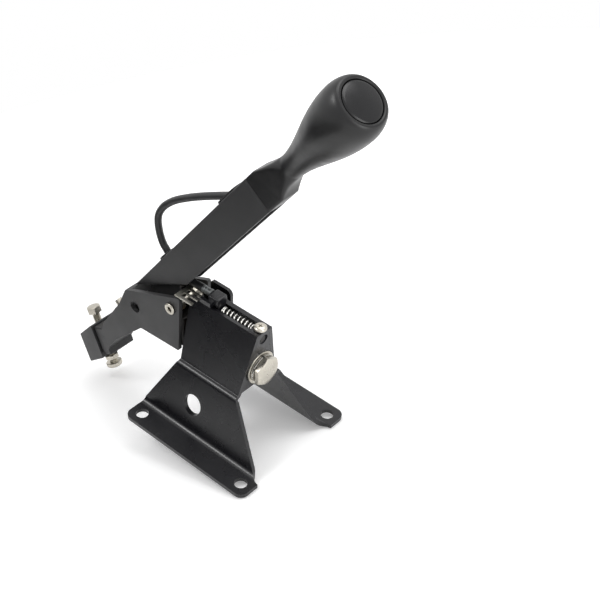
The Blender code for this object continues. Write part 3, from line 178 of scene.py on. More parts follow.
def make_flag():
    """A black card low on the near left, out of the picture, that the folded steel's flat sides reflect."""
    shape = bmesh.new()
    bmesh.ops.create_grid(shape, x_segments=1, y_segments=1, size=0.5)
    mesh = bpy.data.meshes.new("black_card")
    shape.to_mesh(mesh)
    shape.free()
    card = keep(bpy.data.objects.new("black_card", mesh))
    place = Vector((-0.150, -0.235, 0.020))
    facing = (Vector((0.0, 0.0, 0.060)) - place).to_track_quat("Z", "Y").to_matrix().to_4x4()
    card.matrix_world = Matrix.Translation(place) @ facing @ Matrix.Diagonal((0.70, 0.24, 1.0, 1.0))
    look = bpy.data.materials.new("black_card")
    look.use_nodes = True
    shader = look.node_tree.nodes["Principled BSDF"]
    shader.inputs["Base Color"].default_value = (0.01, 0.01, 0.01, 1.0)
    shader.inputs["Roughness"].default_value = 0.9
    card.data.materials.append(look)
    card.visible_camera = False
    card.visible_shadow = False


make_world()
make_table()
make_flag()
panel("overhead_panel", (-0.10, 0.35, 1.20), (0.0, 0.0, 0.08), (0.9, 0.7), 5.6)
panel("front_panel", (1.1, -0.05, 0.60), (0.0, 0.0, 0.10), (0.5, 0.9), 4.6)
panel("strip_panel", (-0.56, -0.50, 0.86), (0.0, 0.0, 0.06), (0.34, 0.30), 3.2)
camera_data = bpy.data.cameras.new("camera")
camera = keep(bpy.data.objects.new("camera", camera_data))
camera.location = CAMERA_PLACE
camera.rotation_euler = (Vector(CAMERA_PLACE) - Vector(CAMERA_TARGET)).to_track_quat("Z", "Y").to_euler()
camera_data.lens = 72.0
camera_data.sensor_width = 36.0
camera_data.shift_x = 0.1162
camera_data.shift_y = 0.0835
camera_data.clip_start = 0.01
scene.camera = camera


# Base bracket.
# It is one sheet of 3 mm steel, folded into two feet, two flared legs and the sides of a tapered housing. End
# plates are welded in. It is coated in a semi-gloss black that pools a little and shows a fine orange peel.
# Its colour is set darker than the lever's, partly a real difference and partly painted shade.

# The base coat's colours are set darker and the lever coat's lighter: partly a real difference between the
# coats, and partly painted shade on the base bracket and painted light on the lever, arm and clamp.
BASE_SHADED_LOW = (0.0085, 0.0085, 0.0105)
BASE_SHADED_HIGH = (0.0115, 0.0115, 0.0135)
LEVER_LIT_LOW = (0.027, 0.027, 0.028)
LEVER_LIT_HIGH = (0.033, 0.033, 0.034)
EDGE_ROUNDING = 0.00035


def noise(nodes, links, coordinate, scale, detail):
    texture = nodes.new("ShaderNodeTexNoise")
    texture.inputs["Scale"].default_value = scale
    texture.inputs["Detail"].default_value = detail
    links.new(coordinate, texture.inputs["Vector"])
    return texture.outputs["Fac"]


def spread(nodes, links, value, low, high):
    """Stretches a noise around its middle to run from low to high."""
    ramp = nodes.new("ShaderNodeMapRange")
    ramp.inputs["From Min"].default_value = 0.35
    ramp.inputs["From Max"].default_value = 0.65
    ramp.inputs["To Min"].default_value = low
    ramp.inputs["To Max"].default_value = high
    links.new(value, ramp.inputs["Value"])
    return ramp.outputs["Result"]


def blend_colours(nodes, links, value, first, second):
    mix = nodes.new("ShaderNodeMix")
    mix.data_type = "RGBA"
    mix.inputs["A"].default_value = (*first, 1.0)
    mix.inputs["B"].default_value = (*second, 1.0)
    links.new(value, mix.inputs["Factor"])
    return mix.outputs["Result"]


def finish(name, dark, light, metallic, roughness, patch_scale, grain_scale, grain_depth, specular=0.5):
    """A finish whose colour and roughness drift in patches, with a fine grain in its surface."""
    look = bpy.data.materials.new(name)
    look.use_nodes = True
    nodes = look.node_tree.nodes
    links = look.node_tree.links
    shader = nodes["Principled BSDF"]
    shader.inputs["Metallic"].default_value = metallic
    shader.inputs["Specular IOR Level"].default_value = specular
    place = nodes.new("ShaderNodeTexCoord").outputs["Object"]
    patches = noise(nodes, links, place, patch_scale, 4.0)
    colour = blend_colours(nodes, links, spread(nodes, links, patches, 0.0, 1.0), dark, light)
    links.new(colour, shader.inputs["Base Color"])
    drift = noise(nodes, links, place, patch_scale * 3.7, 3.0)
    links.new(spread(nodes, links, drift, roughness[0], roughness[1]), shader.inputs["Roughness"])
    bump = nodes.new("ShaderNodeBump")
    bump.inputs["Strength"].default_value = 0.35
    bump.inputs["Distance"].default_value = grain_depth
    links.new(noise(nodes, links, place, grain_scale, 2.0), bump.inputs["Height"])
    links.new(bump.outputs["Normal"], shader.inputs["Normal"])
    return look


# The base coat's colour holds painted shade and the lever coat's colour holds painted light, on top of the
# coats' own black.
base_coat_and_shade = finish("semi_gloss_black_coat_and_painted_shade", BASE_SHADED_LOW, BASE_SHADED_HIGH, 0.0, (0.24, 0.30), 14.0, 1100.0,
                   0.000012, 0.46)
lever_coat_and_light = finish("satin_black_lever_coat_and_painted_light", LEVER_LIT_LOW, LEVER_LIT_HIGH, 0.0, (0.40, 0.48), 14.0, 1100.0,
                     0.00002,
                     0.45)


def round_edges(thing, width, angle):
    edges = thing.modifiers.new("rounded_edges", "BEVEL")
    edges.width = width
    edges.segments = 2
    edges.limit_method = "ANGLE"
    edges.angle_limit = math.radians(angle)


def dress(node, look, rounding=EDGE_ROUNDING, angle=38.0):
    """Gives a kept solid its finish and rounds its edges."""
    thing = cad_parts[node]
    thing.data.materials.clear()
    thing.data.materials.append(look)
    for polygon in thing.data.polygons:
        polygon.material_index = 0
    weld = thing.modifiers.new("weld", "WELD")
    weld.merge_threshold = 0.000003
    if rounding > 0.0:
        round_edges(thing, rounding, angle)


SHEET = 0.003
HOLE_PITCH_X = 0.094
HOLE_PITCH_Y = 0.088
FOOT_LENGTH = 0.056
FOOT_OUTER = 0.053
FOOT_CORNER = 0.006
FOOT_FOLD = (0.0337, 0.003)
SHOULDER_OUT = (0.0214, 0.0452)
SHOULDER_IN = (0.0180, 0.0462)
HOUSING_TOP = (0.0070, 0.0943)
LEG_REAR = -0.055
LEG_FRONT = 0.0466
HOUSING_REAR = -0.0335
HOUSING_FRONT_LOW = 0.020
HOUSING_FRONT_HIGH = 0.026
HOUSING_LOW = 0.046
FOOT_FOLD_RADIUS = 0.005
SHOULDER_RADIUS = 0.0040
WAIST_RADIUS = 0.0009
PLATE_HALF_WIDTH = 0.0195
TAB_REAR = 0.0175
TAB_STEP = 0.0021
TAB_DEPTH = 0.010
PLATE_GRIP = 0.0012
MOUNT_HOLE_RADIUS = 0.0045
LIGHTENING_HOLE = (-0.0132, 0.0225)
LIGHTENING_RADIUS = 0.0075
AXIS_HEIGHT = 0.062
SHAFT_HOLE_RADIUS = 0.0083
HEAD_HOLE_RADIUS = 0.0123
STOP_SCREW_HEIGHT = 0.0875
STOP_HOLE_RADIUS = 0.0027
STOP_RECESS_RADIUS = 0.0037
STOP_RECESS_DEPTH = 0.0010
TAB_SCREW_PLACE = 0.0222
GUIDE_HOLE_RADIUS = 0.0018


def fold(before, corner, after, radius, steps=14):
    """Points on the arc of a fold at a corner of a line in half width and height."""
    corner = Vector(corner)
    back = (Vector(before) - corner).normalized()
    ahead = (Vector(after) - corner).normalized()
    half = back.angle(ahead) / 2.0
    centre = corner + (back + ahead).normalized() * (radius / math.sin(half))
    first = corner + back * (radius / math.tan(half)) - centre
    last = corner + ahead * (radius / math.tan(half)) - centre
    sweep = first.angle_signed(last)
    return [centre + Matrix.Rotation(-sweep * step / steps, 2) @ first for step in range(steps + 1)]


def front_at(height):
    """Where the housing's front edge stands at a height."""
    share = (height - HOUSING_LOW) / (HOUSING_TOP[1] - HOUSING_LOW)
    return HOUSING_FRONT_LOW + (HOUSING_FRONT_HIGH - HOUSING_FRONT_LOW) * share


def bracket_rows():
    """Rows across the sheet: rear end, front end, half width and height."""
    rows = []
    steps = 10
    for step in range(steps + 1):
        angle = math.pi / 2.0 * step / steps
        half = FOOT_LENGTH - FOOT_CORNER * (1.0 - math.sin(angle))
        rows.append((-half, half, FOOT_OUTER - FOOT_CORNER * (1.0 - math.cos(angle)), SHEET))
    low_fold = fold((FOOT_OUTER, SHEET), FOOT_FOLD, SHOULDER_OUT, FOOT_FOLD_RADIUS)
    for index, point in enumerate(low_fold):
        share = index / (len(low_fold) - 1)
        rows.append((-FOOT_LENGTH + (LEG_REAR + FOOT_LENGTH) * share,
                     FOOT_LENGTH + (LEG_FRONT - FOOT_LENGTH) * share ** 0.5, point.x, point.y))
    start = low_fold[-1].y
    outer = fold(FOOT_FOLD, SHOULDER_OUT, SHOULDER_IN, SHOULDER_RADIUS)
    inner = fold(SHOULDER_OUT, SHOULDER_IN, HOUSING_TOP, WAIST_RADIUS)
    for point in outer + inner:
        share = min(1.0, (point.y - start) / (HOUSING_LOW - start))
        front = LEG_FRONT + (HOUSING_FRONT_LOW - LEG_FRONT) * share
        rear = LEG_REAR + (HOUSING_REAR - LEG_REAR) * share
        if point.y >= HOUSING_LOW:
            front = front_at(point.y)
            rear = HOUSING_REAR
        rows.append((rear, front, point.x, point.y))
    rows.append((HOUSING_REAR, HOUSING_FRONT_HIGH, HOUSING_TOP[0], HOUSING_TOP[1]))
    return rows


def prism(name, outline, low, high):
    """A plate between low and high along Y, from an outline in X and Z."""
    shape = bmesh.new()
    face = shape.faces.new([shape.verts.new((x, low, z)) for x, z in outline])
    grown = bmesh.ops.extrude_face_region(shape, geom=[face])
    bmesh.ops.translate(shape, vec=(0.0, high - low, 0.0),
                        verts=[part for part in grown["geom"] if isinstance(part, bmesh.types.BMVert)])
    bmesh.ops.recalc_face_normals(shape, faces=shape.faces)
    mesh = bpy.data.meshes.new(name)
    shape.to_mesh(mesh)
    shape.free()
    return keep(bpy.data.objects.new(name, mesh))


def pin(name, start, end, radius, steps=64):
    """A round tool between two points."""
    start = Vector(start)
    end = Vector(end)
    turn = Vector((0.0, 0.0, 1.0)).rotation_difference((end - start).normalized()).to_matrix().to_4x4()
    shape = bmesh.new()
    bmesh.ops.create_cone(shape, cap_ends=True, segments=steps, radius1=radius, radius2=radius,
                          depth=(end - start).length, matrix=Matrix.Translation((start + end) / 2.0) @ turn)
    mesh = bpy.data.meshes.new(name)
    shape.to_mesh(mesh)
    shape.free()
    return keep(bpy.data.objects.new(name, mesh))


def apply_boolean(target, tool, operation):
    """Joins or cuts at once, and removes the tool."""
    change = target.modifiers.new(operation.lower(), "BOOLEAN")
    change.operation = operation
    change.object = tool
    change.solver = "EXACT"
    bpy.context.view_layer.update()
    with bpy.context.temp_override(object=target, active_object=target):
        bpy.ops.object.modifier_apply(modifier=change.name)
    bpy.data.objects.remove(tool, do_unlink=True)


def side_at(height):
    """Half width of the housing's outer face at a height."""
    share = (height - SHOULDER_IN[1]) / (HOUSING_TOP[1] - SHOULDER_IN[1])
    return SHOULDER_IN[0] + (HOUSING_TOP[0] - SHOULDER_IN[0]) * share


def make_bracket():
    shape = bmesh.new()
    previous = None
    for rear, front, half, height in bracket_rows():
        current = [shape.verts.new((rear, -half, height)), shape.verts.new((front, -half, height))]
        if previous:
            shape.faces.new((previous[0], previous[1], current[1], current[0]))
        previous = current
    mesh = bpy.data.meshes.new("base_bracket_fine")
    shape.to_mesh(mesh)
    shape.free()
    bracket = keep(bpy.data.objects.new("base_bracket_fine", mesh))
    mirror = bracket.modifiers.new("far_side", "MIRROR")
    mirror.use_axis = (False, True, False)
    thickness = bracket.modifiers.new("sheet", "SOLIDIFY")
    thickness.thickness = SHEET
    thickness.offset = -1.0
    thickness.use_even_offset = True
    bpy.context.view_layer.update()
    for name in ("far_side", "sheet"):
        with bpy.context.temp_override(object=bracket, active_object=bracket):
            bpy.ops.object.modifier_apply(modifier=name)
    low = HOUSING_LOW + 0.0004
    high = HOUSING_TOP[1]
    front_plate = prism("front_plate", [
        (front_at(low) - SHEET, low), (front_at(low), low), (front_at(high), high), (TAB_REAR, high),
        (TAB_REAR, high - TAB_DEPTH), (TAB_REAR + TAB_STEP, high - TAB_DEPTH), (TAB_REAR + TAB_STEP,
                                                                                high - SHEET),
        (front_at(high) - SHEET, high - SHEET)], -PLATE_HALF_WIDTH, PLATE_HALF_WIDTH)
    rear_top = high - 2.0 * SHEET
    rear_plate = prism("rear_plate", [
        (HOUSING_REAR, low), (HOUSING_REAR + SHEET, low), (HOUSING_REAR + SHEET, rear_top),
        (HOUSING_REAR, rear_top)], -PLATE_HALF_WIDTH, PLATE_HALF_WIDTH)
    low_side = side_at(low) - PLATE_GRIP
    high_side = side_at(high) - PLATE_GRIP
    for plate in (front_plate, rear_plate):
        envelope = prism("envelope", [(-low_side, low - 0.002), (low_side, low - 0.002),
                                      (high_side, high + 0.001), (-high_side, high + 0.001)], -0.5, 0.5)
        envelope.matrix_world = Matrix.Rotation(math.pi / 2.0, 4, "Z")
        apply_boolean(plate, envelope, "INTERSECT")
        apply_boolean(bracket, plate, "UNION")
    tools = []
    for x in (-HOLE_PITCH_X / 2.0, HOLE_PITCH_X / 2.0):
        for y in (-HOLE_PITCH_Y / 2.0, HOLE_PITCH_Y / 2.0):
            tools.append(pin("tool", (x, y, -0.01), (x, y, 0.02), MOUNT_HOLE_RADIUS))
    hole_x, hole_height = LIGHTENING_HOLE
    tools.append(pin("tool", (hole_x, -0.06, hole_height), (hole_x, 0.06, hole_height), LIGHTENING_RADIUS))
    tools.append(pin("tool", (-0.04, 0.0, AXIS_HEIGHT), (0.04, 0.0, AXIS_HEIGHT), SHAFT_HOLE_RADIUS))
    tools.append(pin("tool", (front_at(AXIS_HEIGHT), 0.0, AXIS_HEIGHT), (0.04, 0.0, AXIS_HEIGHT),
                     HEAD_HOLE_RADIUS))
    screw_end = (0.04, 0.0, STOP_SCREW_HEIGHT)
    tools.append(pin("tool", (0.0202, 0.0, STOP_SCREW_HEIGHT), screw_end, STOP_HOLE_RADIUS))
    tools.append(pin("tool", (front_at(STOP_SCREW_HEIGHT) - STOP_RECESS_DEPTH, 0.0, STOP_SCREW_HEIGHT),
                     screw_end,
                     STOP_RECESS_RADIUS))
    tools.append(pin("tool", (TAB_SCREW_PLACE, 0.0, 0.0898), (TAB_SCREW_PLACE, 0.0, 0.10), STOP_HOLE_RADIUS))
    guide_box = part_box("guide_screw")
    middle = (guide_box[0][0] + guide_box[1][0]) / 2.0
    height = (guide_box[0][2] + guide_box[1][2]) / 2.0
    tools.append(pin("tool", (middle, 0.004, height), (middle, 0.03, height), GUIDE_HOLE_RADIUS))
    for tool in tools:
        apply_boolean(bracket, tool, "DIFFERENCE")
    bracket.data.shade_smooth()
    bracket.data.set_sharp_from_angle(angle=math.radians(30.0))
    round_edges(bracket, EDGE_ROUNDING, 38.0)
    bracket.data.materials.append(base_coat_and_shade)
    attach(bracket, "base")
    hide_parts("base_bracket")


make_bracket()


# Pivot bolt, washers, bushes and nut.
# A 12 mm plated hexagon bolt with a plain washer and a spring washer runs in two bronze bushes. Its head is
# forged with a chamfered, slightly domed top and a raised washer face, and it is bright zinc plated.

BOLT_RADIUS = 0.006
BOLT_FLATS = 0.019
HEAD_DOME = 0.00045
ROUND_STEPS = 72


def skin(name, rings, closed_start=True, closed_end=True):
    """A closed surface through rings of points that all have the same count."""
    shape = bmesh.new()
    rows = [[shape.verts.new(point) for point in ring] for ring in rings]
    count = len(rings[0])
    for first, second in zip(rows, rows[1:]):
        for index in range(count):
            after = (index + 1) % count
            shape.faces.new((first[index], first[after], second[after], second[index]))
    if closed_start:
        shape.faces.new(list(reversed(rows[0])))
    if closed_end:
        shape.faces.new(rows[-1])
    bmesh.ops.recalc_face_normals(shape, faces=shape.faces)
    mesh = bpy.data.meshes.new(name)
    shape.to_mesh(mesh)
    shape.free()
    mesh.shade_smooth()
    mesh.set_sharp_from_angle(angle=math.radians(32.0))
    return keep(bpy.data.objects.new(name, mesh))


def close_rings(thing):
    """Joins the first and last rings of a hollow piece, which lie on each other."""
    join = bmesh.new()
    join.from_mesh(thing.data)
    bmesh.ops.remove_doubles(join, verts=join.verts, dist=0.0000001)
    bmesh.ops.recalc_face_normals(join, faces=join.faces)
    join.to_mesh(thing.data)
    join.free()
    thing.data.shade_smooth()
    thing.data.set_sharp_from_angle(angle=math.radians(32.0))
    return thing


def turned(name, profile, steps=ROUND_STEPS):
    """A turned piece about its own Z, from radius and height. The profile ends on the axis or closes."""
    on_axis = profile[0][0] == 0.0
    inner = profile[1:-1] if on_axis else profile + profile[:1]
    rings = []
    for radius, height in inner:
        rings.append([(radius * math.cos(math.tau * step / steps),
                       radius * math.sin(math.tau * step / steps), height)
                      for step in range(steps)])
    if on_axis:
        return skin(name, rings)
    return close_rings(skin(name, rings, False, False))


def hexagon_solid(name, flats, height, bore=0.0, chamfer_low=False, washer_face=0.0):
    """A hexagon head or nut from 0 to height, chamfered by a cone. A head has no bore and a low dome."""
    steps = 96
    flat_radius = flats / 2.0
    slope = math.tan(math.radians(30.0))

    def ring(radius_rule, height_rule):
        points = []
        for step in range(steps):
            angle = math.tau * step / steps
            within = (angle + math.pi / 6.0) % (math.pi / 3.0) - math.pi / 6.0
            corner = flat_radius / math.cos(within)
            radius = radius_rule(corner)
            points.append((radius * math.cos(angle), radius * math.sin(angle), height_rule(corner)))
        return points

    crown = flat_radius * 0.95
    rings = []
    if bore > 0.0:
        rings.append(ring(lambda corner: bore, lambda corner: 0.0))
    if washer_face > 0.0:
        rings.append(ring(lambda corner: crown, lambda corner: 0.0))
        rings.append(ring(lambda corner: crown, lambda corner: washer_face))
        rings.append(ring(lambda corner: corner, lambda corner: washer_face))
    elif chamfer_low:
        rings.append(ring(lambda corner: crown, lambda corner: 0.0))
        rings.append(ring(lambda corner: corner, lambda corner: (corner - crown) * slope))
    else:
        rings.append(ring(lambda corner: corner, lambda corner: 0.0))
    rings.append(ring(lambda corner: corner, lambda corner: height - (corner - crown) * slope))
    rings.append(ring(lambda corner: crown, lambda corner: height))
    if bore > 0.0:
        rings.append(ring(lambda corner: bore + 0.0005, lambda corner: height))
        rings.append(ring(lambda corner: bore, lambda corner: height - 0.0005))
        rings.append(rings[0])
        return close_rings(skin(name, rings, False, False))
    rings.append(ring(lambda corner: crown * 0.88, lambda corner: height + HEAD_DOME * 2.0 / 3.0))
    rings.append(ring(lambda corner: crown * 0.70, lambda corner: height + HEAD_DOME))
    return skin(name, rings)


def place_x(thing, start, height=AXIS_HEIGHT, across=0.0, turn=0.0):
    """Lays a piece made about Z along +X, with its foot at start."""
    thing.matrix_world = (Matrix.Translation((start, across, height)) @ Matrix.Rotation(math.pi / 2.0, 4, "Y")
                          @ Matrix.Rotation(turn, 4, "Z"))
    return thing


def carry(thing, body, look):
    """Settles a finished piece in the part's own frame and hands it to its body."""
    thing.data.transform(thing.matrix_world)
    thing.matrix_world = Matrix()
    thing.data.materials.append(look)
    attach(thing, body)
    return thing


def plated(name, dark, light, roughness):
    """Zinc plate over turned or rolled steel: warm grey and softly lustrous, with fine plating marks."""
    look = finish(name, dark, light, 1.0, roughness, 90.0, 1500.0, 0.000004)
    nodes = look.node_tree.nodes
    links = look.node_tree.links
    shader = nodes["Principled BSDF"]
    place = nodes.new("ShaderNodeTexCoord").outputs["Object"]
    marks = noise(nodes, links, place, 420.0, 5.0)
    fine = nodes.new("ShaderNodeBump")
    fine.inputs["Strength"].default_value = 0.05
    fine.inputs["Distance"].default_value = 0.00002
    links.new(marks, fine.inputs["Height"])
    links.new(shader.inputs["Normal"].links[0].from_socket, fine.inputs["Normal"])
    links.new(fine.outputs["Normal"], shader.inputs["Normal"])
    return look


zinc = plated("zinc_plate_bright", (0.50, 0.47, 0.41), (0.59, 0.56, 0.49), (0.26, 0.36))
nickel = finish("dull_nickel", (0.34, 0.33, 0.29), (0.46, 0.44, 0.40), 1.0, (0.30, 0.42), 120.0, 1500.0,
                0.000006)
bolt_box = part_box("pivot_bolt")
head_end = bolt_box[1][0]
spring_washer_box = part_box("pivot_spring_washer")
head_start = spring_washer_box[1][0] + 0.0003
head = hexagon_solid("pivot_bolt_head", BOLT_FLATS, head_end - head_start - HEAD_DOME, washer_face=0.0006)
place_x(head, head_start, turn=math.pi / 6.0)
carry(head, "base", zinc)

THREAD_PITCH = 0.00175


def threaded(name, radius, pitch, low, high, thread_low, thread_high):
    """A shank about Z from low to high, with a thread's ridges between the two thread marks."""
    root = radius - pitch * 0.55
    profile = [(0.0, high), (root, high), (radius, high - (radius - root))]
    if thread_high < high - 0.0005:
        profile.append((radius, thread_high))
    turns = max(1, int((thread_high - thread_low) / pitch))
    for turn in range(turns):
        top = thread_high - turn * pitch
        profile.append((root, top - pitch * 0.45))
        profile.append((root, top - pitch * 0.55))
        profile.append((radius, top - pitch * 0.95))
    if thread_low > low + 0.0005:
        profile.append((radius, low))
    profile += [(root, low), (0.0, low)]
    return turned(name, profile, 40)


shank = threaded("pivot_bolt_shank", BOLT_RADIUS, THREAD_PITCH, 0.0, head_start - bolt_box[0][0] + 0.0005,
                 0.0008,
                 0.0200)
place_x(shank, bolt_box[0][0])
carry(shank, "base", zinc)
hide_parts("pivot_bolt")

flat_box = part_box("pivot_flat_washer")
washer_radius = (flat_box[1][1] - flat_box[0][1]) / 2.0
washer_height = flat_box[1][0] - flat_box[0][0]
edge = 0.0002
flat_washer = turned("pivot_flat_washer_fine", [
    (washer_radius - edge, washer_height), (washer_radius, washer_height - edge), (washer_radius, edge),
    (washer_radius - edge, 0.0), (BOLT_RADIUS + 0.0003, 0.0), (BOLT_RADIUS + 0.0003, washer_height)])
place_x(flat_washer, flat_box[0][0])
carry(flat_washer, "base", zinc)
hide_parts("pivot_flat_washer")

nut_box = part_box("pivot_nut")
nut = hexagon_solid("pivot_nut_fine", BOLT_FLATS * 0.95, nut_box[1][0] - nut_box[0][0],
                    bore=BOLT_RADIUS + 0.0003,
                    chamfer_low=True)
place_x(nut, nut_box[0][0])
carry(nut, "base", zinc)
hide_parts("pivot_nut")
spring_steel = finish("spring_steel_wire", (0.52, 0.51, 0.48), (0.80, 0.79, 0.76), 1.0, (0.18, 0.30), 300.0,
                      3000.0,
                      0.00001)
bronze = finish("turned_bronze", (0.30, 0.19, 0.09), (0.45, 0.31, 0.16), 1.0, (0.28, 0.42), 160.0, 1800.0,
                0.00002)
dress("pivot_spring_washer", spring_steel, 0.00015)
dress("front_bush", bronze, 0.0)
dress("rear_bush", bronze, 0.0)


# Lever bracket and hub.
# The bracket is a channel bent from the same sheet, with a web down its rear edge and a leg that carries the
# linkage clamp. The blackened steel hub between its flanges turns on the pivot bolt.

blackened = finish("blackened_steel", (0.018, 0.017, 0.016), (0.034, 0.032, 0.030), 0.6, (0.34, 0.52), 60.0,
                   1500.0,
                   0.00004)
dress("lever_bracket", lever_coat_and_light)
dress("pivot_hub", blackened)

dress("web_screw", zinc, 0.0002)


# Arm, side plates, spacers and rivet.
# The arm is a 24 mm channel, open at the front, over two flat side plates. A tubular rivet with rolled rims
# passes through the plates, two spacers and both flanges of the bracket.

dress("lever_arm", lever_coat_and_light)
dress("near_arm_plate", lever_coat_and_light)
dress("far_arm_plate", lever_coat_and_light)
dress("near_spacer", zinc, 0.00015)
dress("far_spacer", zinc, 0.00015)
rivet_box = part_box("arm_rivet")
rivet_middle = [(low + high) / 2.0 for low, high in zip(*rivet_box)]
rivet_half = (rivet_box[1][1] - rivet_box[0][1]) / 2.0
rim_radius = (rivet_box[1][0] - rivet_box[0][0]) / 2.0
RIVET_RADIUS = 0.003
RIVET_BORE = 0.0017
RIM_THICKNESS = 0.0012


def rolled_rim(direction):
    """Profile of one rolled rim, from the barrel outwards over its rounded edge and down into the bore."""
    face = rivet_half - RIM_THICKNESS
    points = [(RIVET_RADIUS, face)]
    middle = rivet_half - RIM_THICKNESS / 2.0
    for step in range(9):
        angle = -math.pi / 2.0 + math.pi * step / 8.0
        points.append((rim_radius - RIM_THICKNESS / 2.0 + RIM_THICKNESS / 2.0 * math.cos(angle),
                       middle + RIM_THICKNESS / 2.0 * math.sin(angle)))
    points += [(RIVET_BORE + 0.0006, rivet_half - 0.0001), (RIVET_BORE + 0.0001, rivet_half - 0.0005),
               (RIVET_BORE, rivet_half - 0.0012)]
    return [(radius, height * direction) for radius, height in points]


rivet = turned("arm_rivet_fine", list(reversed(rolled_rim(1.0))) + rolled_rim(-1.0))
rivet.matrix_world = Matrix.Translation(rivet_middle) @ Matrix.Rotation(-math.pi / 2.0, 4, "X")
carry(rivet, "lever", zinc)
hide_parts("arm_rivet")


# Handle and push button.
# The handle is moulded in satin black plastic and starts flush on the arm's end. It flows from a rectangular
# collar through a thin neck into a round knob. The button sits in a rim at the end and has a soft crown.

ARM_LEAN = math.radians(37.2)
ARM_FOOT = (-0.0674, 0.0, 0.0812)
arm_frame = Matrix.Translation(ARM_FOOT) @ Matrix.Rotation(ARM_LEAN, 4, "Y")
HANDLE_START = 0.151
COLLAR_END = 0.163
COLLAR_TILT = 0.30
ARM_HALF_DEPTH = 0.012
ARM_HALF_WIDTH = 0.0075
NECK_RADIUS = 0.0079
NECK_PLACE = 0.183
KNOB_PLACE = 0.244
HANDLE_END = 0.2565
BUTTON_RADIUS = 0.0124
knob_radius = (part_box("handle")[1][1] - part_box("handle")[0][1]) / 2.0
rim_inner = BUTTON_RADIUS + 0.0003
rim_outer = knob_radius - 0.0038


def neck_share(length):
    """How much of the arm's section is left between the collar's end, 1, and the neck, 0."""
    share = max(0.0, min(1.0, (length - COLLAR_END) / (NECK_PLACE - COLLAR_END)))
    return 1.0 - math.sin(math.pi / 2.0 * share)


def swell(length):
    """Radius of the round part, from the neck to the knob's widest place and on to the rim."""
    if length < KNOB_PLACE:
        share = (length - NECK_PLACE) / (KNOB_PLACE - NECK_PLACE)
        return NECK_RADIUS + (knob_radius - NECK_RADIUS) * math.sin(math.pi / 2.0 * share) ** 1.75
    share = (length - KNOB_PLACE) / (HANDLE_END - KNOB_PLACE)
    return rim_outer + (knob_radius - rim_outer) * max(0.0, 1.0 - share ** 2.1) ** 0.70


def handle_ring(length, half_across, half_side, roundness, tilt=0.0, steps=120):
    """One section, from a rectangle with small corners to a circle, leaned by tilt across the arm."""
    power = 2.0 + (1.0 - roundness) ** 1.5 * 14.0
    points = []
    for step in range(steps):
        angle = math.tau * (step + 0.5) / steps
        across = abs(math.cos(angle)) ** (2.0 / power) * math.copysign(half_across, math.cos(angle))
        side = abs(math.sin(angle)) ** (2.0 / power) * math.copysign(half_side, math.sin(angle))
        points.append((across, side, length + tilt * across))
    return points


def make_handle():
    """The moulding's outer skin from its flush start on the arm to the rim and down the button's bore."""
    lip = 0.0006
    edge = 0.0003
    rings = [handle_ring(HANDLE_START, ARM_HALF_DEPTH - edge, ARM_HALF_WIDTH - edge, 0.0),
             handle_ring(HANDLE_START + edge, ARM_HALF_DEPTH, ARM_HALF_WIDTH, 0.0)]
    steps = 34
    for step in range(steps + 1):
        length = COLLAR_END + (NECK_PLACE - COLLAR_END) * step / steps
        share = neck_share(length)
        rings.append(handle_ring(length, NECK_RADIUS + (ARM_HALF_DEPTH - NECK_RADIUS) * share,
                                 NECK_RADIUS + (ARM_HALF_WIDTH - NECK_RADIUS) * share, 1.0 - share ** 0.5,
                                 COLLAR_TILT * share))
    steps = 64
    for step in range(1, steps + 1):
        length = NECK_PLACE + (HANDLE_END - NECK_PLACE) * step / steps
        rings.append(handle_ring(length, swell(length), swell(length), 1.0))
    for radius, length in ((rim_outer - edge, HANDLE_END + 0.0001), (rim_inner + lip, HANDLE_END + 0.0001),
                           (rim_inner + 0.0002, HANDLE_END - 0.0002), (rim_inner, HANDLE_END - lip),
                           (rim_inner, HANDLE_END - 0.0140)):
        rings.append(handle_ring(length, radius, radius, 1.0))
    handle = skin("handle_moulding", rings)
    handle.data.set_sharp_from_angle(angle=math.radians(40.0))
    handle.matrix_world = arm_frame
    return handle


def moulding(name, dark, light, roughness, grain_scale, grain_depth):
    """Moulded plastic with spark texture: close bumps, and slow drift in gloss where hands polish it."""
    look = finish(name, dark, light, 0.0, roughness, 38.0, grain_scale, grain_depth)
    shader = look.node_tree.nodes["Principled BSDF"]
    shader.inputs["Specular IOR Level"].default_value = 0.40
    return look


satin_moulding = moulding("satin_black_moulding", (0.009, 0.009, 0.010), (0.014, 0.014, 0.014), (0.30, 0.38),
                          1500.0, 0.00002)
handle = make_handle()
carry(handle, "lever", satin_moulding)
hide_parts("handle")


def make_button():
    profile = [(0.0, 0.0012)]
    for step in range(1, 13):
        radius = (BUTTON_RADIUS - 0.0009) * step / 12.0
        profile.append((radius, 0.0012 * (1.0 - (radius / BUTTON_RADIUS) ** 2)))
    for step in range(1, 6):
        angle = math.pi / 2.0 * step / 5.0
        profile.append((BUTTON_RADIUS - 0.0009 + 0.0009 * math.sin(angle), 0.0009 * math.cos(angle) - 0.0009))
    profile += [(BUTTON_RADIUS, -0.0062), (0.004, -0.0062), (0.004, -0.0282), (0.0, -0.0282)]
    button = turned("push_button_fine", profile, 96)
    button.matrix_world = arm_frame @ Matrix.Translation((0.0, 0.0, HANDLE_END))
    return button


button_moulding = moulding("smooth_black_moulding", (0.005, 0.005, 0.006), (0.007, 0.007, 0.008), (0.22,
                                                                                                   0.28),
                           2400.0, 0.00001)
button = make_button()
carry(button, "button", button_moulding)
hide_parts("push_button")
dress("push_rod", spring_steel, 0.0)
dress("button_spring", spring_steel, 0.0)
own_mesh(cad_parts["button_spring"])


# Latch on the housing.
# A coated block slides in the housing's slot against a coil spring on a rod, and its nose drops into a plated
# comb on the lever. The cable's ferrule pulls it. A screw on the front tab and one in the end plate hold it.

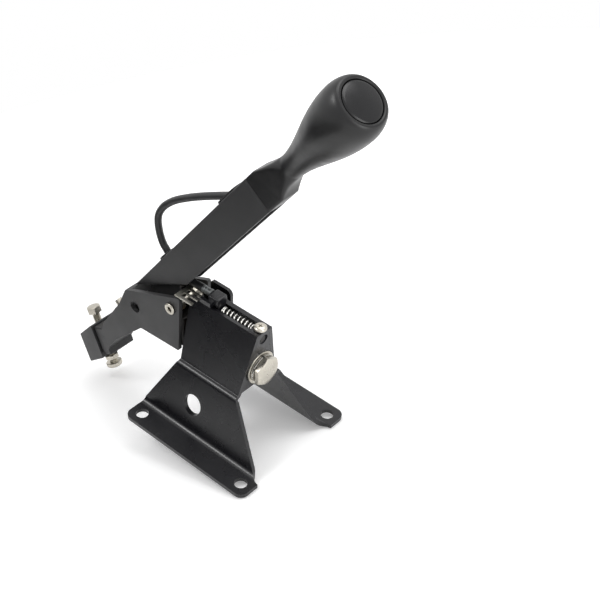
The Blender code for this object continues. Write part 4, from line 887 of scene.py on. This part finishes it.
dress("latch_slider", base_coat_and_shade, 0.0003)
dress("guide_rod", blackened, 0.00015)
dress("latch_comb", nickel, 0.00015)
dress("slider_guide", base_coat_and_shade, 0.0003)
dress("stop_screw", blackened, 0.0002)
dress("guide_screw", zinc, 0.0002)

spring_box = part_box("latch_spring")
WIRE = 0.00055
SPRING_RADIUS = 0.0035
SPRING_TURNS = 10


def spring_points():
    """A compression spring along X whose end coils lie close, as ground ends do."""
    start = spring_box[0][0] + WIRE
    end = spring_box[1][0] - WIRE
    height = (spring_box[0][2] + spring_box[1][2]) / 2.0
    closed = 1.25
    steps = SPRING_TURNS * 36
    closed_length = WIRE * 2.1
    points = []
    for step in range(steps + 1):
        turn = SPRING_TURNS * step / steps
        if turn < closed:
            x = start + closed_length * turn
        elif turn > SPRING_TURNS - closed:
            x = end - closed_length * (SPRING_TURNS - turn)
        else:
            share = (turn - closed) / (SPRING_TURNS - 2.0 * closed)
            x = start + closed_length * closed + (end - start - 2.0 * closed_length * closed) * share
        angle = math.tau * turn
        points.append((x, (SPRING_RADIUS - WIRE) * math.cos(angle),
                       height + (SPRING_RADIUS - WIRE) * math.sin(angle)))
    return points


def tube(name, points, radius, sides=16, ends=True):
    """A round wire or hose along points, with rings turned by the least twist."""
    rings = []
    direction = (Vector(points[1]) - Vector(points[0])).normalized()
    side = direction.orthogonal().normalized()
    for index, point in enumerate(points):
        before = Vector(points[max(index - 1, 0)])
        after = Vector(points[min(index + 1, len(points) - 1)])
        heading = (after - before).normalized()
        side = (side - heading * side.dot(heading)).normalized()
        other = heading.cross(side)
        thickness = radius[index] if isinstance(radius, list) else radius
        rings.append([Vector(point) + side * thickness * math.cos(math.tau * step / sides)
                      + other * thickness * math.sin(math.tau * step / sides) for step in range(sides)])
    return skin(name, rings, ends, ends)


latch_spring = tube("latch_spring_fine", spring_points(), WIRE, 12)
carry(latch_spring, "base", spring_steel)
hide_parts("latch_spring")
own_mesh(latch_spring)

tab_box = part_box("tab_screw")
tab_radius = (tab_box[1][0] - tab_box[0][0]) / 2.0
TAB_HEAD = 0.0028


def pan_head(name, radius, height, low, shank_radius, shank_end):
    """A pan head with a domed top, on a plain shank. Heights are measured from the head's underside."""
    profile = [(0.0, low + height)]
    for step in range(1, 9):
        angle = math.pi / 2.0 * step / 8.0
        profile.append((radius * 0.35 + radius * 0.65 * math.sin(angle),
                        low + height * 0.45 + height * 0.55 * math.cos(angle)))
    profile += [(radius, low + 0.0004), (radius - 0.0003, low), (shank_radius, low), (shank_radius,
                                                                                      shank_end),
                (0.0, shank_end)]
    return turned(name, profile, 64)


def cross_recess(target, radius, depth, height):
    """Cuts the four-way driver recess into a screw's top, with a tapered tool."""
    for turn in (0.0, math.pi / 2.0):
        shape = bmesh.new()
        bmesh.ops.create_cube(shape, size=1.0)
        for vertex in shape.verts:
            narrow = 0.55 if vertex.co.z < 0.0 else 1.0
            vertex.co = (vertex.co.x * radius * 2.0 * narrow, vertex.co.y * radius * 0.42 * narrow,
                         vertex.co.z * depth * 2.0)
        mesh = bpy.data.meshes.new("driver_tool")
        shape.to_mesh(mesh)
        shape.free()
        tool = keep(bpy.data.objects.new("driver_tool", mesh))
        tool.matrix_world = target.matrix_world @ Matrix.Translation((0.0, 0.0,
                                                                      height)) @ Matrix.Rotation(turn, 4, "Z")
        apply_boolean(target, tool, "DIFFERENCE")


tab_screw = pan_head("tab_screw_fine", tab_radius, TAB_HEAD, 0.0, 0.0024, -0.0030)
tab_screw.matrix_world = Matrix.Translation(((tab_box[0][0] + tab_box[1][0]) / 2.0, 0.0,
                                             tab_box[1][2] - TAB_HEAD))
cross_recess(tab_screw, 0.0021, 0.0011, TAB_HEAD)
carry(tab_screw, "base", zinc)
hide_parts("tab_screw")


# Release cable, ferrule and grommets.
# A 5 mm sheathed cable leaves the handle inside the arm, comes out through a rubber grommet, loops behind the
# arm, goes back in and reaches the latch. A crimped ferrule and a short boot join it to the sliding block.

CABLE_RADIUS = 0.0025
WEB_EXIT = 0.123
WEB_RETURN = 0.028
EXIT_SLOPE = 0.50
RETURN_SLOPE = 0.22
WEB_MIDDLE = -0.01075
CABLE_HEIGHT = 0.0997
sheath = finish("cable_sheath", (0.014, 0.014, 0.015), (0.024, 0.024, 0.025), 0.0, (0.40, 0.52), 90.0, 1400.0,
                0.00003)
dress("upper_grommet", sheath, 0.0003)
dress("lower_grommet", sheath, 0.0003)
ferrule_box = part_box("cable_ferrule")


def arm_point(length, across):
    return arm_frame @ Vector((across, 0.0, length))


def cable_points():
    route = [arm_point(0.1515, 0.0), arm_point(0.1465, -0.0004)]
    for away in (0.014, 0.007, 0.0, -0.007, -0.014):
        route.append(arm_point(WEB_EXIT + away, WEB_MIDDLE + away * EXIT_SLOPE))
    for length, across in ((0.096, -0.0240), (0.082, -0.0300), (0.068, -0.0348), (0.055, -0.0368),
                           (0.044, -0.0350), (0.0355, -0.0285)):
        route.append(arm_point(length, across))
    for away in (-0.010, -0.005, 0.0, 0.005, 0.009):
        route.append(arm_point(WEB_RETURN - away * RETURN_SLOPE, WEB_MIDDLE + away))
    end = Vector((ferrule_box[0][0] - 0.0003, 0.0, CABLE_HEIGHT))
    route += [end + Vector((-0.0165, 0.0, 0.0012)), end + Vector((-0.010, 0.0, 0.0)),
              end + Vector((-0.004, 0.0, 0.0)), end]
    return route


def smooth_route(points, share_steps=8):
    """Points on a smooth curve through the route's own points."""
    result = []
    count = len(points)
    for index in range(count - 1):
        before = points[max(index - 1, 0)]
        first = points[index]
        second = points[index + 1]
        after = points[min(index + 2, count - 1)]
        for step in range(share_steps):
            t = step / share_steps
            result.append((first * 2.0 + (second - before) * t
                           + (before * 2.0 - first * 5.0 + second * 4.0 - after) * t ** 2
                           + (first * 3.0 - before - second * 3.0 + after) * t ** 3) / 2.0)
    result.append(points[-1])
    return result


cable = tube("release_cable_fine", smooth_route(cable_points()), CABLE_RADIUS, 24)
cable.data.materials.append(sheath)
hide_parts("release_cable")
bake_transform(cable)


def make_ferrule():
    length = ferrule_box[1][0] - ferrule_box[0][0]
    radius = (ferrule_box[1][1] - ferrule_box[0][1]) / 2.0
    profile = [(0.0, length), (radius - 0.0003, length), (radius, length - 0.0003)]
    for mark in (0.62, 0.36):
        middle = length * mark
        profile += [(radius, middle + 0.0010), (radius - 0.0003, middle + 0.0007),
                    (radius - 0.0003, middle - 0.0007), (radius, middle - 0.0010)]
    profile += [(radius, 0.0003), (radius - 0.0003, 0.0), (0.0, 0.0)]
    return place_x(turned("cable_ferrule_fine", profile, 48), ferrule_box[0][0], CABLE_HEIGHT)


ferrule_look = finish("ferrule_grey", (0.10, 0.105, 0.105), (0.17, 0.18, 0.18), 0.5, (0.34, 0.46), 120.0,
                      1800.0,
                      0.00002)
ferrule = make_ferrule()
carry(ferrule, "latch", ferrule_look)
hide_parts("cable_ferrule")
BOOT_LENGTH = 0.0055
boot = turned("ferrule_boot", [
    (0.0028, BOOT_LENGTH), (0.0028, BOOT_LENGTH - 0.0010), (0.0027, BOOT_LENGTH - 0.0014), (0.0027, 0.0010),
    (0.00262, 0.0), (0.00254, 0.0), (0.00254, BOOT_LENGTH)], 48)
place_x(boot, ferrule_box[0][0] - BOOT_LENGTH, CABLE_HEIGHT)
carry(boot, "latch", sheath)


# Linkage clamp.
# A coated lug in the leg's end holds a stud, and the clamp block swivels on it. A plated hexagon bolt comes
# in from above and a slotted screw with a lock nut from below, to grip the shift rod.

CLAMP_CORNER = (-0.1345, 0.0, 0.0123)
CLAMP_LEAN = math.radians(-23.5)
clamp_frame = Matrix.Translation(CLAMP_CORNER) @ Matrix.Rotation(CLAMP_LEAN, 4, "Y")
BOLT_PLACE = -0.0095
CLAMP_TOP = -0.00475
CLAMP_BOTTOM = -0.03075
STANDOFF = 0.008
HEAD_FLATS = 0.010
HEAD_HEIGHT = 0.0055
SCREW_RADIUS = 0.003
SLOT_HEAD_RADIUS = 0.0063
SLOT_HEAD_HEIGHT = 0.0048
SCREW_DROP = 0.0085
dress("clamp_lug", lever_coat_and_light)
dress("clamp_block", lever_coat_and_light, 0.0005)
dress("swivel_stud", zinc, 0.0)

clamp_head = hexagon_solid("clamp_bolt_head", HEAD_FLATS, HEAD_HEIGHT - HEAD_DOME, washer_face=0.0004)
clamp_head.matrix_world = clamp_frame @ Matrix.Translation((BOLT_PLACE, 0.0, CLAMP_TOP + STANDOFF))
carry(clamp_head, "clamp", zinc)
clamp_shank = threaded("clamp_bolt_shank", SCREW_RADIUS, 0.0010, -0.0105, CLAMP_TOP + STANDOFF + 0.0004,
                       -0.0100, CLAMP_TOP + STANDOFF - 0.0012)
clamp_shank.matrix_world = clamp_frame @ Matrix.Translation((BOLT_PLACE, 0.0, 0.0))
carry(clamp_shank, "clamp", zinc)
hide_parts("clamp_bolt")

lock_nut_top = CLAMP_BOTTOM - 0.0055 / 3.0 - 0.0003
lock_nut = hexagon_solid("clamp_lock_nut_fine", HEAD_FLATS, 0.0035, bore=SCREW_RADIUS + 0.0003,
                         chamfer_low=True)
lock_nut.matrix_world = clamp_frame @ Matrix.Translation((BOLT_PLACE, 0.0, lock_nut_top - 0.0035))
carry(lock_nut, "clamp", zinc)
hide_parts("clamp_lock_nut")


def slotted_head(name, radius, height):
    """A round slotted head about Z, from its flat underside at 0 down to its dome."""
    profile = [(0.0, 0.0), (radius - 0.0003, 0.0), (radius, -0.0003), (radius, -height * 0.42)]
    for step in range(1, 11):
        angle = math.pi / 2.0 * step / 10.0
        profile.append((radius * math.cos(angle) ** 0.8 if step < 10 else 0.0,
                        -height * 0.42 - height * 0.58 * math.sin(angle)))
    thing = turned(name, profile, 72)
    shape = bmesh.new()
    bmesh.ops.create_cube(shape, size=1.0)
    bmesh.ops.scale(shape, vec=(0.0013, 0.03, height * 0.9), verts=shape.verts)
    mesh = bpy.data.meshes.new("slot_tool")
    shape.to_mesh(mesh)
    shape.free()
    tool = keep(bpy.data.objects.new("slot_tool", mesh))
    tool.location = (0.0, 0.0, -height * 1.02)
    apply_boolean(thing, tool, "DIFFERENCE")
    return thing


screw_top = CLAMP_BOTTOM - SCREW_DROP
clamp_screw = slotted_head("clamp_screw_head", SLOT_HEAD_RADIUS, SLOT_HEAD_HEIGHT)
clamp_screw.matrix_world = clamp_frame @ Matrix.Translation((BOLT_PLACE, 0.0, screw_top))
carry(clamp_screw, "clamp", zinc)
screw_shank = threaded("clamp_screw_shank", SCREW_RADIUS, 0.0010, screw_top - 0.0004, -0.0178,
                       screw_top + 0.0006,
                       -0.0182)
screw_shank.matrix_world = clamp_frame @ Matrix.Translation((BOLT_PLACE, 0.0, 0.0))
carry(screw_shank, "clamp", zinc)
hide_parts("clamp_screw")
